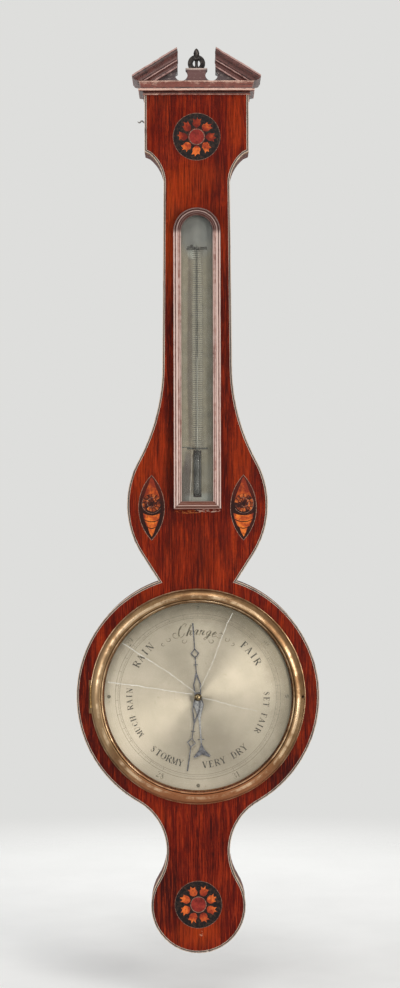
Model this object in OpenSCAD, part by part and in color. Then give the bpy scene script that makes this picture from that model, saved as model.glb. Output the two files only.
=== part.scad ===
// Wheel barometer: a banjo-shaped mahogany case with a broken pediment, a silvered dial
// driven by a float on a siphon tube, and a thermometer box.
// Millimetres. +Z is up and the front faces -Y. The wall is the plane Y = 0, and the
// origin is the eye of the hanging plate on the wall. A "drop" is a distance below it,
// and a "depth" is a distance in front of the wall.

/* [Case outline] */
// Width of the head
head_w = 111.6; // [106:0.2:118]
// Drop of the head's top, under the pediment
head_top_drop = 27.3; // [25:0.1:29]
// Radius of the coves below the head
cove_r = 40.7; // [36:0.1:44]
// Sweep of the coves in degrees
cove_sweep = 51; // [46:1:54]
// Distance from the head's top down to the coves' lower ends
cove_below_top = 108.6; // [104:0.1:112]
// Height of the small ledge above each cove
ledge_h = 2.3; // [1.5:0.1:4]
// How much wider the trunk is above the bulge than below the head
trunk_taper = 3.4; // [2:0.1:6]
// Radius of the hollow flare into the bulge
flare_r = 215.9; // [200:1:230]
// Width of the bulge
bulge_w = 150.8; // [148:0.2:156]
// Radius of the bulge's sides
bulge_r = 98.2; // [94:0.2:102]
// Drop of the bulge's widest place
bulge_drop = 480.4; // [478:0.2:490]
// Width of the waist between bulge and round case
waist_w = 83.2; // [78:0.2:88]
// Distance from the bulge's widest place down to the dial's centre
dial_below_bulge = 204.9; // [198:0.1:215]
// Width of the face between the bezel and the edge of the round case
case_margin = 14.7; // [13:0.1:20]
// Radius of the hollow sides of the neck
neck_r = 60.6; // [59:0.2:63]
// Distance from the dial's centre down to the foot's centre
foot_below_dial = 224.2; // [218:0.1:230]
// Diameter of the round foot
foot_d = 101.2; // [98:0.2:106]

/* [Case construction] */
// Depth from the wall to the face
case_depth = 40; // [39:0.5:46]
// Thickness of the front board
front_board_t = 6.8; // [6:0.2:8]
// Thickness of the face veneer and its inlays
veneer_t = 1.2; // [0.8:0.1:1.6]
// Width of the tube channel
channel_w = 44; // [40:0.5:48]
// Thickness of the case's sides beside the channel
side_t = 13.5; // [12:0.1:18]
// Height of the block that closes the channel at the head
head_block_h = 39.7; // [36:0.1:44]
// How far the channel runs below the foot's centre
channel_past_foot = 3.5; // [2:0.1:6]
// Radius of the hole behind the dial
movement_hole_r = 29; // [28.5:0.5:36]
// Clearance of a screw in its hole
screw_fit = 0.05; // [0.03:0.01:0.1]

/* [Stringing] */
// Width of the outer box line
outer_line_w = 0.8; // [0.5:0.1:1.2]
// Width of the ebony line
ebony_line_w = 1.1; // [0.7:0.1:1.6]
// Width of the inner box line
inner_line_w = 0.5; // [0.3:0.1:0.9]

/* [Pediment] */
// Height of the horizontal cornice
cornice_h = 14.5; // [13:0.5:17]
// How far the horizontal cornice stands out
cornice_out = 6.4; // [5:0.2:9]
// Slope of the raking cornices in degrees
rake_slope = 31.5; // [28:0.5:34]
// Width of the raking cornices, square to their slope
rake_w = 17.4; // [15:0.2:19]
// How far the raking cornices stand out
rake_out = 13; // [11:0.2:15]
// Half the gap between the raking cornices
rake_gap_half = 20.4; // [19:0.2:24]
// Distance from the wall to the back of the pediment
pediment_back = 3; // [2:0.5:8]
// Thickness of the pediment board
tympanum_t = 9; // [6:1:12]
// Radius of the two scoops in the pediment board
scoop_r = 6.7; // [5.5:0.1:7]
// Distance of each scoop from the middle
scoop_x = 16.2; // [15:0.1:17.5]
// Width of the plinth cap
plinth_w = 23.4; // [21:0.2:26]
// Height of the plinth above the head
plinth_h = 14.5; // [13.5:0.1:16]
// Height of the finial
finial_h = 22; // [18:0.5:26]
// Largest radius of the finial
finial_r = 4; // [3:0.1:5]

/* [Inlays] */
// Radius of the pateras
patera_r = 25.4; // [23:0.1:27]
// Radius of the patera's centre
patera_eye_r = 8.6; // [7.5:0.1:9]
// Distance from the head's top down to the upper patera's middle
top_patera_below_top = 59; // [54:0.1:64]
// How far the lower patera's middle sits above the foot's centre
low_patera_lift = 1.3; // [0:0.1:4]
// Height of a shell oval
shell_h = 70.6; // [66:0.2:74]
// Width of a shell oval
shell_w = 28.4; // [26:0.2:30]
// Distance of each shell's middle inside the bulge's widest place
shell_margin = 26.2; // [24:0.1:28]
// How far the shells' middles sit below the bulge's widest place
shell_below_bulge = 2.9; // [0:0.1:6]

/* [Thermometer box] */
// Width of the thermometer box
box_w = 50.4; // [49:0.2:53]
// Width of its glazed opening
box_sight_w = 33.8; // [32:0.2:36]
// Distance from the coves down to the top of its arch
box_below_cove = 27.7; // [24:0.1:34]
// How far it runs below the bulge's widest place
box_past_bulge = 4.5; // [0:0.1:10]
// How far the box stands out of the face
box_out = 15; // [14.5:0.5:18]
// Thickness of its glass
box_glass_t = 1.6; // [1.2:0.1:2]
// Width of the rebate that holds the glass
box_rebate = 1.8; // [1.2:0.1:2.4]
// Thickness of the moulding in front of the glass
box_lip_t = 4; // [3:0.1:4.2]
// Thickness of the scale plate
scale_t = 1.2; // [0.8:0.1:1.4]
// Outer radius of the thermometer tube
thermo_tube_r = 2.6; // [2.2:0.1:2.9]
// Outer radius of the thermometer bulb
bulb_r = 3.9; // [3.4:0.1:4]
// Distance from the arch's top down to the thermometer tube's top
tube_below_arch = 35.4; // [31:0.1:41]
// Length of the bulb
bulb_l = 47; // [40:0.5:52]
// Distance from the bulb's lower end down to the box's lower end
bulb_above_end = 13.9; // [12:0.1:18]
// Height of the thermometer's mercury above the bulb
reading_h = 102; // [20:1:190]

/* [Dial and bezel] */
// Radius of the dial plate
dial_r = 100.2; // [99:0.1:101]
// Thickness of the dial plate
dial_t = 1.6; // [1.2:0.1:2]
// Distance of the dial screws inside the plate's edge
dial_screw_inset = 5; // [4:0.1:7]
// Gap between the plate's edge and the bezel's inner edge
bezel_gap = 1.5; // [1.2:0.1:3]
// Width of the bezel
bezel_w = 13.6; // [12:0.1:16]
// Height of the bezel above the face
bezel_h = 8.6; // [8.2:0.1:10]
// Width of the rebate that holds the glass
bezel_rebate = 2.4; // [1.8:0.1:3]
// Thickness of the dial glass
glass_t = 1.8; // [1.4:0.1:2.2]
// Height of the back of the glass above the face
glass_lift = 4.3; // [4.2:0.1:4.8]
// Distance of the hinge axis inside the bezel's edge
hinge_inset = 1.1; // [0.9:0.1:1.3]
// Radius of the bezel hinge's knuckle
bezel_knuckle_r = 1.3; // [1.1:0.1:1.4]
// Length of the bezel hinge
bezel_hinge_l = 24; // [20:1:26]
// Radius of the catch hole in the bezel
catch_hole_r = 1.2; // [1:0.1:1.5]
// Distance of the catch hole inside the bezel's edge
catch_hole_inset = 3.3; // [3:0.1:4]

/* [Hands] */
// Length of the indicating hand from its centre
hand_l = 78.6; // [74:0.2:80]
// Distance of its diamond from its centre
hand_diamond_at = 46.2; // [44:0.1:50]
// Distance of its cross tick from its centre
hand_tick_at = 34; // [32:0.1:36]
// Length of its tail
tail_l = 64; // [60:0.5:66]
// Width of its tail's leaf
tail_leaf_w = 11.2; // [9:0.2:13]
// Width of its tail's anchor
anchor_w = 18.4; // [15:0.2:20]
// Length of the set hand from its centre
set_hand_l = 80.4; // [76:0.2:82]
// Distance of its diamond from its centre
set_diamond_at = 49.6; // [46:0.1:52]
// Distance of its cross tick from its centre
set_tick_at = 37.4; // [35:0.1:39]
// Width of the diamonds
diamond_w = 9.8; // [8:0.1:11]
// Height of the diamonds
diamond_h = 11; // [9:0.1:12]
// Width of the open leaves
leaf_w = 8.4; // [7.8:0.1:10]
// Width of the hands' bars
bar_w = 1.1; // [0.9:0.1:1.4]
// Radius of the hands' hubs
hub_r = 3.6; // [3.2:0.1:3.8]
// Thickness of both hands
hand_t = 0.5; // [0.4:0.1:0.6]
// Clock angle of the indicating hand in degrees
hand_angle = -3.9; // [-10:0.1:10]
// Clock angle of the set hand in degrees
set_hand_angle = 188.2; // [180:0.2:200]
// Radius of the set hand's knob
knob_r = 4.1; // [3.5:0.1:5]

/* [Movement] */
// Radius at which the silk runs on the pulley
pulley_r = 7.07; // [6.9:0.01:7.3]
// Radius of the arbor
arbor_r = 0.9; // [0.8:0.05:1]
// Running clearance of shafts and pins
running_fit = 0.05; // [0.02:0.01:0.08]
// Radius of the silk thread
thread_r = 0.25; // [0.15:0.05:0.35]
// Radius of the float
float_r = 4.6; // [4:0.1:4.8]
// Length of the float
float_l = 16; // [12:1:20]
// Radius of the counterweight
weight_r = 2.3; // [2:0.1:2.4]
// Length of the counterweight
weight_l = 18; // [14:1:20]
// Distance from the dial's centre down to the counterweight's top
weight_below_dial = 56.7; // [50:0.1:64]

/* [Siphon tube] */
// Outer radius of the long limb
long_r = 4.5; // [4.2:0.1:4.7]
// Bore radius of the long limb
long_bore_r = 2.5; // [2:0.1:3]
// Outer radius of the short limb
short_r = 6.9; // [6.7:0.1:7]
// Bore radius of the short limb
short_bore_r = 5.6; // [5.4:0.1:5.8]
// Gap between the long limb and the channel's side
limb_margin = 1.57; // [1:0.01:3]
// Gap between the long limb's closed top and the channel's top
tube_top_gap = 3; // [2:0.5:8]
// Length of the empty space above the mercury column
empty_l = 40.7; // [20:0.1:60]
// Height of the short limb above its mercury
short_limb_free = 60; // [50:1:70]
// Height of the mercury in the short limb above the bend's centre
mercury_above_bend = 30; // [25:0.5:36]
// Distance from the bend's centre down to the channel's lower end
bend_above_end = 21; // [18:0.5:26]

/* [Rear door] */
// Thickness of the rear door
door_t = 6; // [5:0.5:7]
// How far the door lies in from the wall plane
door_recess = 2; // [1.8:0.1:2.4]
// How far the door laps over the edge of the channel
door_lap = 4; // [3.5:0.1:4.5]
// Gap round the door
door_gap = 0.8; // [0.6:0.1:0.9]
// Length of each door hinge
door_hinge_l = 30; // [24:1:36]
// Wood left between a door hinge's leaf and the case's edge
door_leaf_margin = 2.3; // [1.5:0.1:4]
// Thickness of a door hinge's leaf
door_leaf_t = 0.8; // [0.6:0.1:0.8]
// Radius of the door hinge's knuckle
door_knuckle_r = 1.1; // [1:0.05:1.15]
// Radius of the hinge pins
hinge_pin_r = 0.5; // [0.4:0.05:0.55]
// Length of the turn button
button_l = 24; // [23:0.5:28]
// Width of the turn button
button_w = 6; // [5.2:0.2:8]
// Height of the turn button above the dial's centre
button_above_dial = 85.3; // [70:0.1:110]

/* [Hanging plate] */
// Radius of the hanging eye
eye_r = 4; // [3:0.1:5]
// Outer radius of the plate round the eye
eye_outer_r = 9.5; // [8:0.1:10]
// Width of the plate's shank
plate_w = 15; // [12:0.5:18]
// Drop of the plate's lower end
plate_end_drop = 58; // [54:1:60]
// Thickness of the hanging plate
plate_t = 1.8; // [1.5:0.1:2.2]

/* [Hidden] */

mahogany = [0.48, 0.17, 0.09];
dark_mahogany = [0.33, 0.12, 0.07];
pine = [0.62, 0.47, 0.30];
worn_wood = [0.62, 0.45, 0.38];
boxwood = [0.78, 0.66, 0.46];
ebony = [0.10, 0.08, 0.07];
satinwood = [0.80, 0.42, 0.14];
old_brass = [0.74, 0.58, 0.34];
dark_metal = [0.20, 0.19, 0.18];
blued_steel = [0.33, 0.34, 0.37];
silvered = [0.75, 0.71, 0.62];
clear_glass = [0.80, 0.86, 0.84, 0.35];
mercury_grey = [0.66, 0.67, 0.69];
silk_white = [0.86, 0.82, 0.72];
weathered_grey = [0.45, 0.38, 0.37];

// Depths of the layers, from the wall forwards
board_front = case_depth - veneer_t;
board_back = board_front - front_board_t;
dial_front = board_front + dial_t;
hand_back = dial_front + 1.4;
set_hand_back = hand_back + hand_t + 0.9;
glass_back = case_depth + glass_lift;
glass_front = glass_back + glass_t;
door_back = door_recess + door_t;

// Drops and heights of the main places, each from the one above it
dial_drop = bulge_drop + dial_below_bulge;
foot_drop = dial_drop + foot_below_dial;
channel_top_drop = head_top_drop + head_block_h;
channel_end_drop = foot_drop + channel_past_foot;
top_patera_drop = head_top_drop + top_patera_below_top;
low_patera_drop = foot_drop - low_patera_lift;
shell_drop = bulge_drop + shell_below_bulge;
cove_drop = head_top_drop + cove_below_top;
box_top_drop = cove_drop + box_below_cove;
box_end_drop = bulge_drop + box_past_bulge;
thermo_top_drop = box_top_drop + tube_below_arch;
bulb_end_drop = box_end_drop - bulb_above_end;
bulb_top_drop = bulb_end_drop - bulb_l;
reading_drop = bulb_top_drop - reading_h;
weight_drop = dial_drop + weight_below_dial;
tube_top_drop = channel_top_drop + tube_top_gap;
bend_drop = channel_end_drop - bend_above_end;
mercury_drop = bend_drop - mercury_above_bend;
short_top_drop = mercury_drop - short_limb_free;
button_drop = dial_drop - button_above_dial;
head_top_z = -head_top_drop;
dial_z = -dial_drop;
bulge_z = -bulge_drop;
foot_z = -foot_drop;
channel_top_z = -channel_top_drop;
channel_end_z = -channel_end_drop;
mercury_z = -mercury_drop;

// Widths and radii that follow from others
dial_screw_r = dial_r - dial_screw_inset;
bezel_sight_r = dial_r + bezel_gap;
bezel_r = bezel_sight_r + bezel_w;
round_r = bezel_r + case_margin;
round_case_d = 2 * round_r;
foot_r = foot_d / 2;
channel_half = channel_w / 2;
trunk_top_w = channel_w + 2 * side_t;
trunk_low_w = trunk_top_w + trunk_taper;
shell_x = bulge_w / 2 - shell_margin;

// Centres of the outline's arcs, which all run smoothly into one another
waist_z = dial_z + sqrt(pow(round_r, 2) - pow(waist_w / 2, 2));
cove_c = [trunk_top_w / 2 + cove_r, -cove_drop];
// The bulge's arc is never rounder than one that just reaches the corner at the waist
waist_in = (bulge_w - waist_w) / 2;
waist_reach_r = 0.99 * (pow(waist_in, 2) + pow(waist_z - bulge_z, 2)) / (2 * waist_in);
bulge_arc_r = min(bulge_r, waist_reach_r);
bulge_cx = bulge_w / 2 - bulge_arc_r;
flare_cx = trunk_low_w / 2 + flare_r;
flare_cz = bulge_z + sqrt(pow(bulge_arc_r + flare_r, 2) - pow(flare_cx - bulge_cx, 2));
flare_end = atan2(flare_cz - bulge_z, flare_cx - bulge_cx);
neck_up = (pow(round_r + neck_r, 2) - pow(foot_r + neck_r, 2) + pow(dial_z - foot_z, 2))
    / (2 * (dial_z - foot_z));
neck_c = [sqrt(pow(round_r + neck_r, 2) - pow(neck_up, 2)), dial_z - neck_up];
neck_start = atan2(neck_up, neck_c[0]);
neck_end = atan2(neck_c[1] - foot_z, neck_c[0]);
waist_from_bulge = [waist_w / 2 - bulge_cx, waist_z - bulge_z];
waist_a = atan2(waist_from_bulge[1], waist_from_bulge[0])
    + acos(bulge_arc_r / norm(waist_from_bulge));
line_total = outer_line_w + ebony_line_w + inner_line_w;

function arc(cx, cz, r, from, to, n) =
    [for (i = [0 : n]) let (a = from + (to - from) * i / n) [cx + r * cos(a), cz + r * sin(a)]];

// Where the straight side of the bulge meets the round case, with both drawn in by d
function waist_start(d) = waist_a + acos((bulge_cx * cos(waist_a)
    + (bulge_z - dial_z) * sin(waist_a) + bulge_arc_r - d) / (round_r - d));

// The right half of the case's outline from the top down, drawn in by d
function right_outline(d) = let (ledge = arc(cove_c[0], cove_c[1], cove_r + d,
        180 - cove_sweep, 180, 8))
    concat([[head_w / 2 - d, head_top_z], [head_w / 2 - d, ledge[0][1] + ledge_h]], ledge,
        arc(flare_cx, flare_cz, flare_r + d, 180, 180 + flare_end, 12),
        arc(bulge_cx, bulge_z, bulge_arc_r - d, flare_end, waist_a, 18),
        arc(0, dial_z, round_r - d, waist_start(d), -neck_start, 40),
        arc(neck_c[0], neck_c[1], neck_r + d, 180 - neck_start, 180 + neck_end, 16),
        arc(0, foot_z, foot_r - d, neck_end, -90, 16));

function left_of(points) = [for (i = [len(points) - 1 : -1 : 0]) [-points[i][0], points[i][1]]];

module case_shape(d = 0) polygon(concat(right_outline(d), left_of(right_outline(d))));

// A flat shape in X and Z, given thickness between two depths
module layer(back, front)
    translate([0, -back, 0]) rotate([90, 0, 0]) linear_extrude(front - back) children();

// A round bar along the depth
module rod(x, z, r, back, front)
    translate([x, -back, z]) rotate([90, 0, 0]) cylinder(r = r, h = front - back, $fn = 48);

// A profile of radius and depth, turned round an axis along the depth
module turned(x, z) translate([x, 0, z]) rotate([90, 0, 0]) rotate_extrude($fn = 120) children();

// A flat shape placed round the dial's centre
module at_dial() translate([0, dial_z]) children();

// A box between two corners given as x, depth and z
module block(low, high)
    translate([low[0], -high[1], low[2]])
        cube([high[0] - low[0], high[1] - low[1], high[2] - low[2]]);

// Screws: one turned into wood from the front, one from the wall side
screw_head_r = 2;
screw_head_h = 0.8;
screw_shank_r = 1.1;
screw_l = 9;
slot_w = 0.6;
module front_screw(x, z, seat, length = screw_l, shank = screw_shank_r, head = screw_head_r) {
    difference() {
        rod(x, z, head, seat, seat + screw_head_h);
        block([x - head, seat + screw_head_h / 2, z - slot_w / 2],
            [x + head, seat + screw_head_h + 1, z + slot_w / 2]);
    }
    rod(x, z, shank, seat - length, seat);
}
module rear_screw(x, z, seat, length = screw_l) {
    difference() {
        rod(x, z, screw_head_r, seat - screw_head_h, seat);
        block([x - screw_head_r, seat - screw_head_h - 1, z - slot_w / 2],
            [x + screw_head_r, seat - screw_head_h / 2, z + slot_w / 2]);
    }
    rod(x, z, screw_shank_r, seat, seat + length);
}
module screw_hole(x, z, back, front, r = screw_shank_r) rod(x, z, r + screw_fit, back, front);

// Room round a leaf or a knuckle in its pocket, and the depth of a hole past a screw's end
leaf_room = 0.2;
knuckle_room = 0.3;
hole_past = 4;
screw_room = 0.3;
catch_hole_d = 3;
button_room = 0.6;
plate_room = 0.15;
// How far a cut runs past the face that it opens
past = 1;

// Case: a front board, two sides and two end blocks leave a channel for the tube
door_top_z = channel_top_z + door_lap;
door_end_z = channel_end_z - door_lap;
rebate_half = channel_half + door_lap;
plate_screw_drops = [plate_end_drop - 20, plate_end_drop - 8];
dial_screw_angles = [0, 90, 180, 270];
dial_screw_l = 5;
dial_shank_r = 1;
dial_screw_head_r = 1.9;
door_hinge_from_top = 83;
door_hinge_from_end = 113;
door_hinge_drops = [channel_top_drop + door_hinge_from_top, bulge_drop,
    channel_end_drop - door_hinge_from_end];
door_hinge_x = -rebate_half + door_gap / 2;
door_leaf_w = trunk_top_w / 2 + door_hinge_x - door_leaf_margin;
hinge_screw_x = door_hinge_x - (door_leaf_w + door_knuckle_r + knuckle_room) / 2;
hinge_screw_at = door_hinge_l * 0.32;
button_reach = 8.4;
button_x = rebate_half + button_reach;
wood_hole_end = screw_l + hole_past;

bezel_hinge_x = -(bezel_r - hinge_inset);
// The axis stands above the face, so that the bezel's edge clears it when it opens wide
bezel_hinge_rise = 1;
bezel_hinge_depth = case_depth + bezel_hinge_rise;
hinge_leaf_w = 8;
hinge_leaf_t = 1;
hinge_pocket_d = veneer_t + 0.3;
hinge_pocket_out = 2.6;
hinge_pocket_half = bezel_hinge_l * 0.75;

module bezel_hinge_pocket() {
    block([bezel_hinge_x - hinge_pocket_out, case_depth - hinge_pocket_d, dial_z - hinge_pocket_half],
        [bezel_hinge_x + bezel_knuckle_r + knuckle_room, case_depth + past, dial_z + hinge_pocket_half]);
    block([bezel_hinge_x, case_depth - hinge_leaf_t, dial_z - bezel_hinge_l / 2],
        [bezel_hinge_x + hinge_leaf_w, case_depth + past, dial_z + bezel_hinge_l / 2]);
}
module catch_hole(back, front) rod(bezel_r - catch_hole_inset, dial_z, catch_hole_r, back, front);

module dial_screw_places() {
    for (a = dial_screw_angles)
        translate([dial_screw_r * cos(a), 0, dial_z + dial_screw_r * sin(a)]) children();
}

module front_board() color(pine) difference() {
    layer(board_back, board_front) difference() {
        case_shape();
        at_dial() circle(r = movement_hole_r, $fn = 96);
    }
    bezel_hinge_pocket();
    dial_screw_places()
        screw_hole(0, 0, board_front - dial_screw_l - screw_room, board_front + past, dial_shank_r);
    catch_hole(board_front - catch_hole_d, board_front + past);
}
knuckle_pocket_d = door_recess + door_knuckle_r - door_leaf_t / 2;

module door_hinge_pockets() {
    for (drop = door_hinge_drops) {
        low = -drop - door_hinge_l / 2 - leaf_room;
        high = -drop + door_hinge_l / 2 + leaf_room;
        block([door_hinge_x - door_leaf_w - leaf_room, -past, low], [-channel_half, door_recess, high]);
        block([door_hinge_x - door_knuckle_r - knuckle_room, -past, low],
            [-channel_half, knuckle_pocket_d, high]);
        for (side = [-1, 1])
            screw_hole(hinge_screw_x, -drop + side * hinge_screw_at, 0, wood_hole_end);
    }
}

module rebate() block([-rebate_half, -past, door_end_z - door_gap / 2],
    [rebate_half, door_back, door_top_z + door_gap / 2]);

module case_side(side) difference() {
    layer(0, board_back) intersection() {
        case_shape();
        translate([side > 0 ? channel_half : -channel_half - round_case_d, -2 * foot_drop])
            square([round_case_d, 2 * foot_drop]);
    }
    rebate();
}
module left_case_side() color(dark_mahogany) difference() {
    case_side(-1);
    door_hinge_pockets();
}
module right_case_side() color(dark_mahogany) difference() {
    case_side(1);
    rod(button_x, -button_drop, button_l / 2 + button_room, -past, door_recess);
    screw_hole(button_x, -button_drop, 0, wood_hole_end);
}
module hanging_plate_shape(gap = 0) {
    circle(r = eye_outer_r + gap, $fn = 64);
    translate([-plate_w / 2 - gap, plate_w / 2 - plate_end_drop])
        square([plate_w + 2 * gap, plate_end_drop - plate_w / 2]);
    translate([0, plate_w / 2 - plate_end_drop]) circle(r = plate_w / 2 + gap, $fn = 64);
}
module head_block() color(dark_mahogany) difference() {
    block([-channel_half, 0, channel_top_z], [channel_half, board_back, head_top_z]);
    rebate();
    layer(-past, plate_t) hanging_plate_shape(plate_room);
    for (drop = plate_screw_drops) screw_hole(0, -drop, 0, wood_hole_end);
}
module foot_block() color(dark_mahogany) difference() {
    layer(0, board_back) intersection() {
        case_shape();
        translate([-channel_half, channel_end_z - foot_d]) square([channel_w, foot_d]);
    }
    rebate();
}

// Face veneer, with the stringing round it and the inlays let into it
dial_room = 1.3;
dial_seat_r = dial_r + dial_room;
module front_veneer() color(mahogany) difference() {
    layer(board_front, case_depth) difference() {
        case_shape(line_total);
        at_dial() circle(r = dial_seat_r, $fn = 180);
        translate([0, -top_patera_drop]) circle(r = patera_r, $fn = 96);
        translate([0, -low_patera_drop]) circle(r = patera_r, $fn = 96);
        for (side = [-1, 1]) translate([side * shell_x, -shell_drop]) shell_oval(0);
    }
    bezel_hinge_pocket();
    catch_hole(board_front - past, case_depth + past);
}
module ring_line(from, to) layer(board_front, case_depth) difference() {
    case_shape(from);
    case_shape(to);
}
module box_lines() color(boxwood) {
    ring_line(0, outer_line_w);
    ring_line(outer_line_w + ebony_line_w, line_total);
}
module ebony_line() color(ebony) ring_line(outer_line_w, outer_line_w + ebony_line_w);

// Mouldings: a profile of [stand-out, height] is run along the front and round the sides
function s_curve(a, b, n) = [for (i = [0 : n]) let (t = i / n)
    [a[0] + (b[0] - a[0]) * (t - 0.13 * sin(360 * t)), a[1] + (b[1] - a[1]) * t]];
function hollow(a, b, n) = [for (i = [0 : n]) let (t = 90 * i / n)
    [a[0] + (b[0] - a[0]) * (1 - cos(t)), a[1] + (b[1] - a[1]) * sin(t)]];

cornice_profile = concat([[0, 0], [1.3, 0], [1.6, 0.9], [1.3, 1.8]],
    hollow([1.3, 2.6], [cornice_out - 0.4, cornice_h * 0.27], 3),
    [[cornice_out, cornice_h * 0.3], [cornice_out, cornice_h * 0.4],
        [cornice_out * 0.55, cornice_h * 0.44]],
    hollow([cornice_out * 0.5, cornice_h * 0.5], [cornice_out * 0.9, cornice_h], 6),
    [[0, cornice_h]]);

module front_run(profile, reach) intersection() {
    translate([-head_w / 2 - reach, -case_depth, 0]) rotate([90, 0, 90])
        linear_extrude(head_w + 2 * reach) mirror([1, 0]) polygon(profile);
    translate([0, 0, -round_case_d]) linear_extrude(2 * round_case_d) polygon([
        [-head_w / 2, -case_depth], [head_w / 2, -case_depth],
        [head_w / 2 + reach, -case_depth - reach], [-head_w / 2 - reach, -case_depth - reach]]);
}
// The moulding's return along the right side, back to a given depth
module side_run(profile, reach, back) intersection() {
    translate([head_w / 2, -back, 0]) rotate([90, 0, 0])
        linear_extrude(case_depth + reach - back) polygon(profile);
    translate([0, 0, -round_case_d]) linear_extrude(2 * round_case_d) polygon([
        [head_w / 2, -back], [head_w / 2, -case_depth],
        [head_w / 2 + reach, -case_depth - reach], [head_w / 2 + reach, -back]]);
}
module horizontal_cornice() color(worn_wood)
    translate([0, 0, head_top_z - cornice_h]) {
        front_run(cornice_profile, cornice_out);
        side_run(cornice_profile, cornice_out, 0);
        mirror([1, 0, 0]) side_run(cornice_profile, cornice_out, 0);
    }

// Raking cornices: [stand-out, distance below the top edge, square to the slope]
rake_profile = concat([[rake_out, 0], [rake_out, rake_w * 0.11]],
    s_curve([rake_out - 0.6, rake_w * 0.13], [rake_out * 0.52, rake_w * 0.56], 8),
    [[rake_out * 0.48, rake_w * 0.59], [rake_out * 0.48, rake_w * 0.67]],
    hollow([rake_out * 0.4, rake_w * 0.7], [rake_out * 0.24, rake_w * 0.86], 4),
    [[rake_out * 0.3, rake_w * 0.9], [rake_out * 0.3, rake_w]]);
rake_corner = head_w / 2 + rake_out;
rake_corner_lift = 5;
rake_corner_z = head_top_z + rake_corner_lift;
rake_tip_z = rake_corner_z + (rake_corner - rake_gap_half) * tan(rake_slope);

module rake_run() {
    wall_side = pediment_back - case_depth;
    solid = concat(rake_profile, [[wall_side, rake_w], [wall_side, 0]]);
    intersection() {
        translate([rake_corner, -case_depth, rake_corner_z]) rotate([0, rake_slope, 0])
            rotate([90, 0, 90]) translate([0, 0, -2 * head_w])
                linear_extrude(2 * head_w + rake_w) mirror([1, 0]) mirror([0, 1]) polygon(solid);
        translate([0, 0, head_top_z]) linear_extrude(head_w) polygon([
            [rake_gap_half, 0], [head_w / 2, 0], [head_w / 2, -case_depth],
            [rake_corner, -case_depth - rake_out], [rake_gap_half, -case_depth - rake_out]]);
    }
}
// The return follows the slope's section at the mitre, so that both meet in one line
function rake_return() = [for (p = rake_profile)
    [p[0], rake_corner_z + (rake_out - p[0]) * tan(rake_slope) - p[1] / cos(rake_slope)]];
module rake_side() {
    top = rake_corner_z + rake_out * tan(rake_slope);
    intersection() {
        side_run(concat([[0, top]], rake_return(),
            [[0, rake_corner_z - rake_w]]), rake_out, pediment_back);
        translate([0, -2 * case_depth, head_top_z])
            cube([head_w, 2 * case_depth, head_w]);
    }
}
// The return is a piece of its own, glued on at the mitre
mitre_glue = 0.03;
module raking_cornice() {
    rake_run();
    translate([mitre_glue, 0, 0]) rake_side();
}
module right_raking_cornice() color(worn_wood) raking_cornice();
module left_raking_cornice() color(worn_wood) mirror([1, 0, 0]) raking_cornice();

scoop_lift = 0.8;
scoop_z = head_top_z + scoop_r + scoop_lift;
rake_under_z = rake_tip_z - rake_w / cos(rake_slope);
tympanum_half = rake_gap_half + (rake_under_z - head_top_z) / tan(rake_slope);
module tympanum() color(weathered_grey)
    layer(case_depth - tympanum_t, case_depth) difference() {
        union() {
            polygon([[-tympanum_half, head_top_z], [tympanum_half, head_top_z],
                [rake_gap_half, rake_under_z], [rake_gap_half, scoop_z], [-rake_gap_half, scoop_z],
                [-rake_gap_half, rake_under_z]]);
            translate([-plinth_w / 2, head_top_z]) square([plinth_w, plinth_h]);
        }
        for (side = [-1, 1]) translate([side * scoop_x, scoop_z]) circle(r = scoop_r, $fn = 64);
    }

module finial() color(dark_metal)
    translate([0, -case_depth + tympanum_t / 2, head_top_z + plinth_h])
        rotate_extrude($fn = 64) polygon([[0, 0], [finial_r * 0.55, 0],
            [finial_r * 0.5, finial_h * 0.1], [finial_r * 0.38, finial_h * 0.22],
            [finial_r * 0.45, finial_h * 0.38], [finial_r * 0.95, finial_h * 0.43],
            [finial_r, finial_h * 0.48], [finial_r * 0.8, finial_h * 0.53],
            [finial_r * 0.5, finial_h * 0.58], [finial_r * 0.74, finial_h * 0.67],
            [finial_r * 0.8, finial_h * 0.76], [finial_r * 0.62, finial_h * 0.88],
            [finial_r * 0.28, finial_h * 0.97], [0, finial_h]]);

// Pateras: a dark ground, eight petals and a centre
petal_r = patera_r * 0.17;
petal_at = patera_r * 0.57;
module petals(turn) for (i = [0 : 7]) rotate(turn + 45 * i) translate([petal_at, 0]) {
    circle(r = petal_r, $fn = 32);
    polygon([[0, -petal_r * 0.8], [petal_r * 1.9, 0], [0, petal_r * 0.8]]);
}
module patera_ground(drop, turn) layer(board_front, case_depth) translate([0, -drop])
    difference() {
        circle(r = patera_r, $fn = 96);
        circle(r = patera_eye_r, $fn = 64);
        petals(turn);
    }
module patera_petals(drop, turn)
    layer(board_front, case_depth) translate([0, -drop]) petals(turn);
module patera_centre(drop)
    layer(board_front, case_depth) translate([0, -drop]) circle(r = patera_eye_r, $fn = 64);

top_patera_turn = 0;
low_patera_turn = 22.5;
module top_patera_ground() color(ebony) patera_ground(top_patera_drop, top_patera_turn);
module top_patera_petals() color(satinwood) patera_petals(top_patera_drop, top_patera_turn);
module top_patera_centre() color(mahogany) patera_centre(top_patera_drop);
module bottom_patera_ground() color(ebony) patera_ground(low_patera_drop, low_patera_turn);
module bottom_patera_petals() color(satinwood) patera_petals(low_patera_drop, low_patera_turn);
module bottom_patera_centre() color(mahogany) patera_centre(low_patera_drop);

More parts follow.
